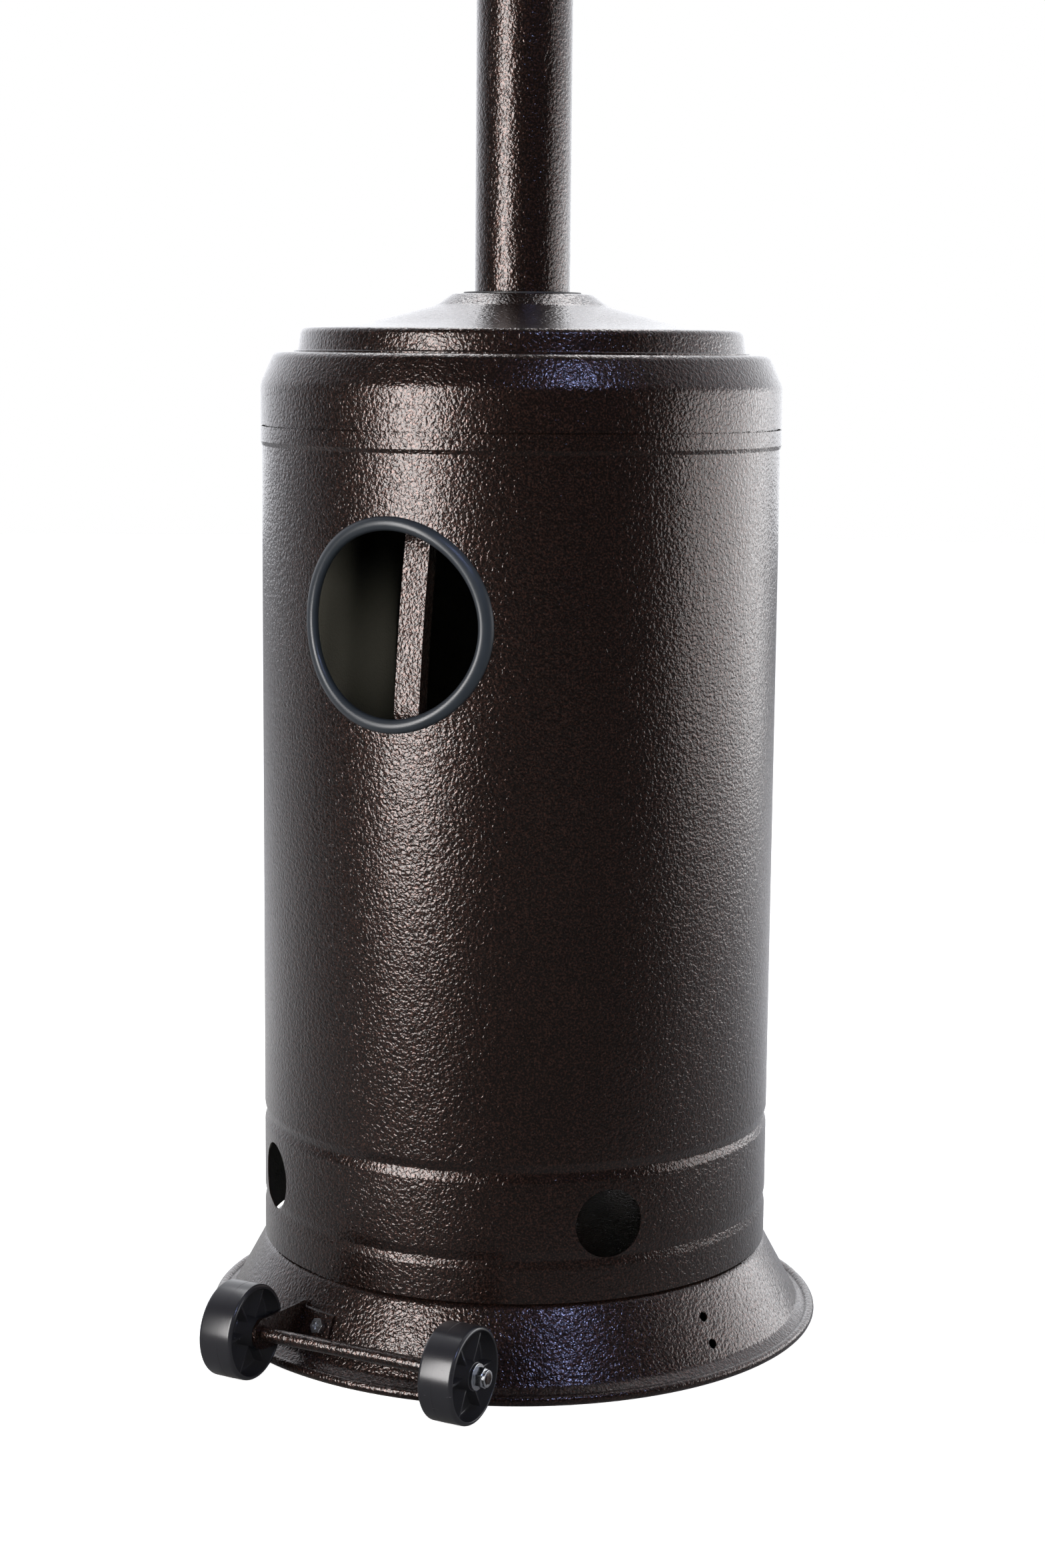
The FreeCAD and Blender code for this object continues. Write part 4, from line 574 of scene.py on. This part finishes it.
def finish(name):
    """The material for one of the record's slots, made once."""
    look = bpy.context.scene.heater_finish
    makers = {
        "bronze_paint": ("hammered_bronze_enamel", hammered_enamel),
        "black_rubber": ("trim_rubber", trim_rubber),
        "wheel_plastic": ("moulded_wheel_plastic", wheel_plastic),
        "black_plastic": ("black_moulding", black_moulding),
        "knob_plastic": ("black_moulding", black_moulding),
        "button_plastic": ("igniter_plastic", igniter_plastic),
        "zinc": ("zinc_plate", zinc_plate),
        "stainless": ("stainless_sheet", stainless_sheet),
        "reflector_aluminium": ("spun_aluminium", spun_aluminium),
        "cast_aluminium": ("cast_alloy", cast_alloy),
        "brass": ("turned_brass", lambda f: turned_metal("turned_brass", f.brass)),
        "copper": ("drawn_copper", lambda f: turned_metal("drawn_copper", f.copper)),
        "ceramic": ("glazed_ceramic", glazed_ceramic),
    }
    made_name, make = makers[name]
    return bpy.data.materials.get(made_name) or make(look)


# ------------------------------------------------------------------------------------------ operators
class HEATER_OT_base(bpy.types.Operator):
    """The flared base pan and its rolled rim."""

    bl_idname = "heater.base"
    bl_label = "Base pan"

    def execute(self, context):
        s = heater(context)[0]
        top = high("base_pan").z
        rim = high("base_pan").x - s.bead_radius
        slope = math.tan(s.flare_angle)
        foot = (s.flare_top_radius + (top - s.flare_foot) * slope, s.flare_foot)
        bead_z = s.bead_radius
        path = [(rim, bead_z), foot, (s.flare_top_radius, top), (0.0, top)]
        bm = bmesh.new()
        spun(bm, wall_section(path, [0.006, 0.009], s.base_sheet), s.segments)
        pan = piece("base_pan_shell", bm, "stand", finish("bronze_paint"), ["base_pan"])
        cutter = bmesh.new()
        turned = azimuth_turn(SPARE_HOLE_AZIMUTH)
        for z in SPARE_HOLE_HEIGHTS:
            radius = s.flare_top_radius + (top - z) * slope
            out = Vector((0, -math.cos(s.flare_angle), math.sin(s.flare_angle)))
            place = Vector((0, -radius, z))
            bar(cutter, turned @ (place - out * 0.006), turned @ (place + out * 0.006),
                SPARE_HOLE_RADIUS, 24)
        carve(pan, cutter)
        mark_inside(pan)
        bm = bmesh.new()
        spun(bm, circle_section(rim, bead_z, s.bead_radius, 20), s.segments)
        for vert in bm.verts:
            if vert.co.z < 0.00025:
                vert.co.z = 0.0
        piece("base_rim_bead", bm, "stand", finish("bronze_paint"))
        return {"FINISHED"}


class HEATER_OT_legs(bpy.types.Operator):
    """The three channel legs, the post and the flange that joins them."""

    bl_idname = "heater.legs"
    bl_label = "Legs and post"

    def execute(self, context):
        enamel = finish("bronze_paint")
        for node in ("leg_front", "leg_right", "leg_left"):
            refined(node + "_channel", node, "stand", enamel, 0.0005)
        refined("post_foot_flange", "post_flange", "stand", enamel, 0.0006)
        radius = high("post").x
        bm = bmesh.new()
        section = wall_section([(radius, low("post").z), (radius, high("post").z)], [], POST_WALL)
        spun(bm, section, 96)
        piece("post_tube", bm, "stand", enamel, ["post"])
        return {"FINISHED"}


class HEATER_OT_housing(bpy.types.Operator):
    """The cylinder with its grooves, hand hole, vents and rest tabs."""

    bl_idname = "heater.housing"
    bl_label = "Housing cylinder"

    def execute(self, context):
        s = heater(context)[0]
        bottom, top = low("housing_cylinder").z, high("housing_cylinder").z
        floor = high("base_pan").z
        proud = high("housing_cylinder").x
        radius = proud - s.band_step
        path, bends = [(radius, bottom)], []
        for z, depth in ((s.low_groove, s.low_groove_depth), (s.high_groove, s.high_groove_depth)):
            middle = floor + z
            path += [(radius, middle - s.groove_half), (radius - depth, middle),
                     (radius, middle + s.groove_half)]
            bends += [0.006, 0.004, 0.006]
        band = top + SEAM_GAP - s.band_height
        path += [(radius, band - 0.0015), (proud, band + 0.0015), (proud, top)]
        bends += [0.0015, 0.0015]
        bm = bmesh.new()
        spun(bm, wall_section(path, bends, s.housing_sheet), s.segments)
        shell = piece("housing_shell", bm, "housing", finish("bronze_paint"),
                      ["housing_cylinder"])
        cutter = bmesh.new()
        trim_low, trim_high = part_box("hand_hole_trim")
        centre = (trim_low.z + trim_high.z) / 2
        bar(cutter, Vector((0, 0, centre)), Vector((0, -radius - CUTTER_REACH, centre)),
            s.hand_hole_radius, 128)
        for azimuth in VENT_AZIMUTHS:
            z = floor + s.vent_height
            bar(cutter, along_azimuth(0.1, azimuth, z), along_azimuth(radius + CUTTER_REACH, azimuth, z),
                s.vent_radius, 72)
        carve(shell, cutter)
        mark_inside(shell)
        refined("rest_tabs", "housing_rest_tabs", "housing", finish("bronze_paint"), 0.0004)
        return {"FINISHED"}


class HEATER_OT_trim(bpy.types.Operator):
    """The rubber ring on the edge of the hand hole, which follows the cylinder."""

    bl_idname = "heater.trim"
    bl_label = "Hand hole trim"

    def execute(self, context):
        s = heater(context)[0]
        trim_low, trim_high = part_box("hand_hole_trim")
        section = s.trim_section / 2
        middle = trim_high.z - (trim_low.z + trim_high.z) / 2 - section
        wall = high("housing_cylinder").x - s.band_step - s.housing_sheet / 2
        bm = bmesh.new()
        spun(bm, circle_section(middle, 0.0, section, 28), 160)
        bmesh.ops.rotate(bm, verts=bm.verts, cent=(0, 0, 0),
                         matrix=Matrix.Rotation(math.radians(90), 3, "X"))
        for vert in bm.verts:
            vert.co.y -= math.sqrt(wall ** 2 - vert.co.x ** 2)
        bmesh.ops.translate(bm, verts=bm.verts, vec=(0, 0, (trim_low.z + trim_high.z) / 2))
        piece("hand_hole_trim_ring", bm, "housing", finish("black_rubber"),
              ["hand_hole_trim"])
        return {"FINISHED"}


class HEATER_OT_cover(bpy.types.Operator):
    """The shoulder, the lid and the bushing round the post."""

    bl_idname = "heater.cover"
    bl_label = "Shoulder and lid"

    def execute(self, context):
        s = heater(context)[0]
        enamel = finish("bronze_paint")
        outer = high("housing_shoulder").x
        seam = high("housing_cylinder").z + SEAM_GAP
        top = high("housing_shoulder").z
        path = [(outer, seam), (outer, seam + s.shoulder_lean), (s.shoulder_top_radius, top),
                (s.lid_radius - 0.010, top)]
        bm = bmesh.new()
        spun(bm, wall_section(path, [0.014, 0.007], s.housing_sheet), s.segments)
        neck = outer - s.housing_sheet * 2 - 0.0012
        collar = [(neck, low("housing_shoulder").z), (neck, seam + 0.003), (outer - 0.0008, seam + 0.006)]
        spun(bm, wall_section(collar, [0.0], s.housing_sheet), s.segments)
        mark_inside(piece("shoulder_shell", bm, "housing", enamel, ["housing_shoulder"]))

        base, crown = low("housing_lid").z, high("housing_lid").z
        lip = base + s.housing_sheet
        bore = high("post").x + LID_BORE_CLEARANCE
        path = [(s.lid_radius + 0.003, lip), (s.lid_radius, lip), (s.lid_radius - 0.0022, lip + s.lid_skirt),
                (s.boss_foot_radius + 0.052, lip + 0.0196), (s.boss_foot_radius, lip + 0.033),
                (s.boss_radius, crown), (bore, crown)]
        bm = bmesh.new()
        spun(bm, wall_section(path, [0.0015, 0.005, 0.16, 0.014, 0.005], s.housing_sheet), s.segments)
        mark_inside(piece("lid_shell", bm, "housing", enamel, ["housing_lid"]))

        bush_low, bush_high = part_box("post_bushing")
        slide = high("post").x + SLIDE_CLEARANCE
        seat = bore - BUSH_SEAT_CLEARANCE
        path = [(slide, bush_low.z), (seat, bush_low.z), (seat, crown), (bush_high.x, crown),
                (bush_high.x, bush_high.z), (slide, bush_high.z)]
        bm = bmesh.new()
        spun(bm, rounded(path, [0.0005, 0.0, 0.0, 0.0006]), s.segments)
        piece("post_bushing_ring", bm, "housing",
              finish("black_plastic"), ["post_bushing"])
        return {"FINISHED"}


class HEATER_OT_wheels(bpy.types.Operator):
    """The two moulded wheels, their axle and brackets."""

    bl_idname = "heater.wheels"
    bl_label = "Wheels"

    def execute(self, context):
        s = heater(context)[0]
        for side, node, body in ((1, "wheel_right", "right_wheel"), (-1, "wheel_left", "left_wheel")):
            self.wheel(s, side, node, body)
        self.axle()
        for node in ("wheel_bracket_right", "wheel_bracket_left"):
            refined(node + "_plate", node, "stand", finish("bronze_paint"), 0.0004)
        return {"FINISHED"}

    def wheel(self, s, side, node, body):
        """One wheel, spun about Z and then laid on the axle with its hub's inner side first."""
        lowest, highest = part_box(node)
        radius = (highest.z - lowest.z) / 2
        width = highest.x - lowest.x
        near, far = s.hub_proud, width - s.hub_outer_proud
        middle = (near + far) / 2
        inside = radius - s.wheel_rim
        web = s.wheel_web / 2
        outline = [(WHEEL_BORE, 0.0), (s.wheel_hub, 0.0), (s.wheel_hub + 0.0006, middle - web),
                   (inside - 0.0008, middle - web), (inside, near), (radius, near), (radius, middle),
                   (radius, far), (inside, far), (inside - 0.0008, middle + web),
                   (s.wheel_hub + 0.0006, middle + web), (s.wheel_hub, width), (WHEEL_BORE, width),
                   (WHEEL_BORE, 0.0)]
        radii = [0.0006, 0.0012, 0.0015, 0.0007, 0.0026, 0.0, 0.0026, 0.0007, 0.0015, 0.0012, 0.0006, 0.0]
        bm = bmesh.new()
        spun(bm, rounded(outline, radii)[:-1], 128)
        for k in range(s.wheel_ribs):
            rib = bmesh.new()
            block(rib, (s.wheel_hub - 0.001, -RIB_HALF_THICKNESS, middle - RIB_HALF_HEIGHT),
                  (inside + 0.0005, RIB_HALF_THICKNESS, middle + RIB_HALF_HEIGHT), 0.0004)
            turned = Matrix.Rotation(math.tau * (k + 0.5) / s.wheel_ribs, 4, "Z")
            bmesh.ops.transform(rib, matrix=turned, verts=rib.verts)
            self.add(bm, rib)
        parting = [(radius - 0.0004, -0.0003), (radius + 0.00008, -0.00012), (radius + 0.00008, 0.00012),
                   (radius - 0.0004, 0.0003)]
        line = bmesh.new()
        spun(line, parting, 128)
        bmesh.ops.translate(line, verts=line.verts, vec=(0, 0, middle - 0.0022))
        self.add(bm, line)
        start = Vector((lowest.x if side > 0 else highest.x, (lowest.y + highest.y) / 2,
                        (lowest.z + highest.z) / 2))
        stand_up = Matrix.Translation(start) @ Matrix.Rotation(math.radians(90 * side), 4, "Y")
        bmesh.ops.transform(bm, matrix=stand_up, verts=bm.verts)
        piece(node + "_moulding", bm, body, finish("wheel_plastic"), [node])

    @staticmethod
    def add(bm, other):
        """Moves the faces of another bmesh into bm."""
        bmesh.ops.recalc_face_normals(other, faces=other.faces)
        mesh = bpy.data.meshes.new("part")
        other.to_mesh(mesh)
        other.free()
        bm.from_mesh(mesh)
        bpy.data.meshes.remove(mesh)

    @staticmethod
    def axle():
        lowest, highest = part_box("wheel_axle")
        centre = (lowest + highest) / 2
        radius = (highest.z - lowest.z) / 2
        shoulder = low("wheel_right").x - AXLE_SHOULDER_GAP
        end = AXLE_END_RADIUS
        path = [(0.0, lowest.x), (end, lowest.x), (end, -shoulder), (radius, -shoulder),
                (radius, shoulder), (end, shoulder), (end, highest.x), (0.0, highest.x)]
        bm = bmesh.new()
        spun(bm, rounded(path, [0.0006, 0.0, 0.0005, 0.0005, 0.0, 0.0006]), 48, closed=False)
        stand_up = Matrix.Translation((0, centre.y, centre.z)) @ Matrix.Rotation(math.radians(90), 4, "Y")
        bmesh.ops.transform(bm, matrix=stand_up, verts=bm.verts)
        piece("wheel_axle_bar", bm, "stand", finish("bronze_paint"), ["wheel_axle"])


class HEATER_OT_fasteners(bpy.types.Operator):
    """Bolts, nuts, washers and screws."""

    bl_idname = "heater.fasteners"
    bl_label = "Fasteners"

    def execute(self, context):
        zinc = finish("zinc")
        for node in ("leg_foot_bolts", "leg_foot_nuts", "leg_top_bolts", "leg_top_nuts", "bracket_bolts",
                     "bracket_nuts", "axle_washers", "axle_nuts", "head_screws", "reflector_studs",
                     "stud_nuts", "stud_spacers", "seam_screws", "wing_nuts"):
            refined(node + "_plated", node, "stand", zinc, 0.00025)
        return {"FINISHED"}


class HEATER_OT_head(bpy.types.Operator):
    """The burner head: skirt, burner, pilot and emitter screen."""

    bl_idname = "heater.head"
    bl_label = "Burner head"

    def execute(self, context):
        enamel, steel = finish("bronze_paint"), finish("stainless")
        refined("head_collar", "head_flange", "stand", enamel, 0.0004)
        refined("burner_skirt_shell", "burner_skirt", "stand", enamel, 0.0003)
        for node in ("burner_plate", "venturi", "burner", "pilot_bracket", "emitter_top"):
            refined(node + "_sheet", node, "stand", steel, 0.0003)
        refined("emitter_screen_sheet", "emitter_screen", "stand", steel)
        refined("gas_valve_casting", "gas_valve", "stand", finish("cast_aluminium"), 0.0005)
        refined("gas_inlet_fitting", "gas_inlet", "stand", finish("brass"), 0.0004)
        refined("injector_fitting", "injector", "stand", finish("brass"), 0.0003)
        refined("thermocouple_tip", "thermocouple", "stand", finish("copper"), 0.0004)
        refined("spark_electrode_rod", "spark_electrode", "stand", finish("ceramic"), 0.0003)
        refined("tilt_switch_box", "tilt_switch", "stand", finish("black_plastic"), 0.0004)
        return {"FINISHED"}


class HEATER_OT_controls(bpy.types.Operator):
    """The bezel, the knob with its spindle, and the igniter."""

    bl_idname = "heater.controls"
    bl_label = "Controls"

    def execute(self, context):
        moulding = finish("black_plastic")
        refined("control_bezel_moulding", "control_bezel", "stand", moulding, 0.0006)
        refined("igniter_barrel", "igniter_body", "stand", moulding, 0.0005)
        refined("igniter_ring_nut", "igniter_nut", "stand", moulding, 0.0004)
        refined("igniter_push_button", "igniter_button", "igniter", finish("button_plastic"), 0.0004)
        refined("control_knob_moulding", "control_knob", "knob", moulding, 0.0006)
        refined("knob_spindle", "valve_stem", "knob", finish("stainless"), 0.0003)
        refined("valve_spool_sleeve", "valve_spool", "valve_slider", finish("brass"), 0.0003)
        return {"FINISHED"}


class HEATER_OT_reflector(bpy.types.Operator):
    """The three reflector panels and the cap over their inner ends."""

    bl_idname = "heater.reflector"
    bl_label = "Reflector"

    def execute(self, context):
        sheet = finish("reflector_aluminium")
        for node in ("reflector_panel_front", "reflector_panel_right", "reflector_panel_left"):
            refined(node + "_sheet", node, "stand", sheet)
        refined("reflector_cap_disc", "reflector_cap", "stand", sheet, 0.0005)
        return {"FINISHED"}


class HEATER_OT_stage(bpy.types.Operator):
    """The pale floor, the studio lights and the camera."""

    bl_idname = "heater.stage"
    bl_label = "Stage"

    def execute(self, context):
        studio = heater(context)[2]
        self.floor(math.degrees(studio.camera_azimuth))
        self.lights(studio)
        self.surround(context)
        self.camera(context, studio)
        context.scene.view_settings.view_transform = "Standard"
        return {"FINISHED"}

    @staticmethod
    def paper(facing):
        """Paper that is white where it is seen, with painted shade on the camera's side where it is mirrored
        and painted shade under the base.
        """
        f = Finish("studio_paper")
        tone = f.mix(f.noise(3.0, 2.0), (0.80, 0.80, 0.80), (0.84, 0.84, 0.84))
        reach = f.node("ShaderNodeVectorMath", {"operation": "LENGTH"}, {0: f.place})["Value"]
        # Painted shade: the paper's glow is painted dark under the base and fades back in near its rim.
        painted_base_shade = f.ramp(reach, (0.205, 0.0), (0.222, 1.0))
        seen = f.node("ShaderNodeBsdfPrincipled", {},
                      {"Base Color": tone, "Roughness": 0.9, "Specular IOR Level": 0.1,
                       "Emission Color": painted_base_shade, "Emission Strength": 0.72})
        # Painted shade: where the paper is mirrored, its colour is painted dark on the camera's side and
        # lighter behind the heater.
        ahead = f.node("ShaderNodeVectorMath", {"operation": "DOT_PRODUCT"},
                       {0: f.place, 1: facing})["Value"]
        painted_front_shade = f.ramp(0.5 + ahead * 0.2, (0.34, 0.55), (0.62, 0.05))
        mirrored = f.node("ShaderNodeBsdfDiffuse", {}, {"Color": painted_front_shade})
        camera = f.node("ShaderNodeLightPath")["Is Camera Ray"]
        both = f.node("ShaderNodeMixShader", {},
                      {0: camera, 1: mirrored["BSDF"], 2: seen["BSDF"]})["Shader"]
        f.node("ShaderNodeOutputMaterial", {}, {"Surface": both})
        return f.material

    def floor(self, azimuth):
        bm = bmesh.new()
        bmesh.ops.create_circle(bm, cap_ends=True, segments=96, radius=9.0)
        mesh = bpy.data.meshes.new("studio_floor")
        bm.to_mesh(mesh)
        bm.free()
        mesh.materials.append(self.paper(along_azimuth(1.0, azimuth)))
        made = bpy.data.objects.new("studio_floor", mesh)
        bpy.context.scene.collection.objects.link(made)

    @staticmethod
    def soft_box(name, azimuth, distance, height, width, tall, power, tint, aim):
        """A rectangular light that faces the post's axis at the height aim."""
        data = bpy.data.lights.new(name, "AREA")
        data.shape = "RECTANGLE"
        data.size = width
        data.size_y = tall
        data.energy = power
        data.color = tint
        made = bpy.data.objects.new(name, data)
        made.location = along_azimuth(distance, azimuth, height)
        towards = Vector((0, 0, aim)) - made.location
        made.rotation_euler = towards.to_track_quat("-Z", "Y").to_euler()
        bpy.context.scene.collection.objects.link(made)
        return made

    def lights(self, studio):
        front = math.degrees(studio.camera_azimuth)
        self.soft_box("key_light", front - 46, 2.4, 0.86, 0.92, 1.78, studio.key_power,
                      (1.0, 0.98, 0.97), 0.8)
        self.soft_box("blue_light", front + 26, 2.8, 2.9, 0.5, 0.5, studio.blue_power,
                      (0.42, 0.52, 1.0), 0.3)
        self.soft_box("side_panel", front + 103, 2.5, 0.35, 3.1, 1.3, studio.side_power,
                      (1.0, 1.0, 1.0), 0.7)
        inner = self.soft_box("hole_light", front + 12, 2.4, 0.85, 0.4, 0.4, 55.0,
                              (1.0, 0.98, 0.92), 0.55)
        inner.visible_glossy = False
        self.soft_box("top_light", front + 180, 1.6, 3.4, 2.4, 2.4, 60.0, (1.0, 1.0, 1.0), 0.6)

    @staticmethod
    def surround(context):
        """Bright behind and beside the heater and dim in front of it; plain white where it is seen."""
        world = bpy.data.worlds.new("studio")
        context.scene.world = world
        world.use_nodes = True
        tree = world.node_tree
        tree.nodes.clear()
        place = tree.nodes.new("ShaderNodeTexCoord")
        split = tree.nodes.new("ShaderNodeVectorMath")
        split.operation = "DOT_PRODUCT"
        facing = along_azimuth(1.0, math.degrees(context.scene.heater_studio.camera_azimuth) - 14)
        split.inputs[1].default_value = facing
        tree.links.new(place.outputs["Generated"], split.inputs[0])
        ramp = tree.nodes.new("ShaderNodeValToRGB")
        set_ramp(ramp.color_ramp, [(0.0, (0.80, 0.81, 0.84)), (0.25, (0.58, 0.59, 0.63)),
                                   (0.42, (0.30, 0.30, 0.32)), (0.60, (0.016, 0.016, 0.018)),
                                   (1.0, (0.005, 0.005, 0.006))])
        scale = tree.nodes.new("ShaderNodeMapRange")
        scale.inputs["From Min"].default_value = -1.0
        tree.links.new(split.outputs["Value"], scale.inputs["Value"])
        tree.links.new(scale.outputs["Result"], ramp.inputs["Fac"])
        lit = tree.nodes.new("ShaderNodeBackground")
        lit.inputs["Strength"].default_value = 1.9
        tree.links.new(ramp.outputs["Color"], lit.inputs["Color"])
        seen = tree.nodes.new("ShaderNodeBackground")
        seen.inputs["Color"].default_value = (1.0, 1.0, 1.0, 1.0)
        rays = tree.nodes.new("ShaderNodeLightPath")
        mixer = tree.nodes.new("ShaderNodeMixShader")
        tree.links.new(rays.outputs["Is Camera Ray"], mixer.inputs["Fac"])
        tree.links.new(lit.outputs["Background"], mixer.inputs[1])
        tree.links.new(seen.outputs["Background"], mixer.inputs[2])
        out = tree.nodes.new("ShaderNodeOutputWorld")
        tree.links.new(mixer.outputs["Shader"], out.inputs["Surface"])

    @staticmethod
    def camera(context, studio):
        data = bpy.data.cameras.new("camera")
        data.sensor_width = 36.0
        data.lens = studio.camera_lens
        data.clip_end = 100.0
        made = bpy.data.objects.new("camera", data)
        azimuth = math.degrees(studio.camera_azimuth)
        heading = Matrix.Rotation(studio.camera_azimuth - studio.camera_pan, 4, "Z")
        tilt = Matrix.Rotation(math.radians(90) - studio.camera_tilt, 4, "X")
        roll = Matrix.Rotation(studio.camera_roll, 4, "Z")
        spot = Matrix.Translation(along_azimuth(studio.camera_distance, azimuth, studio.camera_height))
        made.matrix_world = spot @ heading @ tilt @ roll
        context.scene.collection.objects.link(made)
        context.scene.camera = made


class HEATER_PT_panel(bpy.types.Panel):
    """Lists the heater's groups of pieces."""

    bl_idname = "HEATER_PT_panel"
    bl_label = "Patio Heater"
    bl_space_type = "VIEW_3D"
    bl_region_type = "UI"
    bl_category = "Heater"

    def draw(self, context):
        for operator in OPERATORS:
            self.layout.operator(operator.bl_idname)
        for group in heater(context):
            for key in group.bl_rna.properties.keys():
                if key not in ("rna_type", "name"):
                    self.layout.prop(group, key)


OPERATORS = (HEATER_OT_base, HEATER_OT_legs, HEATER_OT_housing, HEATER_OT_trim, HEATER_OT_cover,
             HEATER_OT_wheels, HEATER_OT_fasteners, HEATER_OT_head, HEATER_OT_controls,
             HEATER_OT_reflector, HEATER_OT_stage)
GROUPS = (HeaterSizes, HeaterFinish, HeaterStudio)


def register():
    for made in (*GROUPS, *OPERATORS, HEATER_PT_panel):
        bpy.utils.register_class(made)
    bpy.types.Scene.heater_sizes = PointerProperty(type=HeaterSizes)
    bpy.types.Scene.heater_finish = PointerProperty(type=HeaterFinish)
    bpy.types.Scene.heater_studio = PointerProperty(type=HeaterStudio)


def unregister():
    for name in ("heater_sizes", "heater_finish", "heater_studio"):
        delattr(bpy.types.Scene, name)
    for made in reversed((*GROUPS, *OPERATORS, HEATER_PT_panel)):
        bpy.utils.unregister_class(made)


def main():
    register()
    steps = bpy.ops.heater
    for build in (steps.base, steps.legs, steps.housing, steps.trim, steps.cover, steps.wheels, steps.fasteners,
                  steps.head, steps.controls, steps.reflector, steps.stage):
        build()


if __name__ == "__main__":
    main()
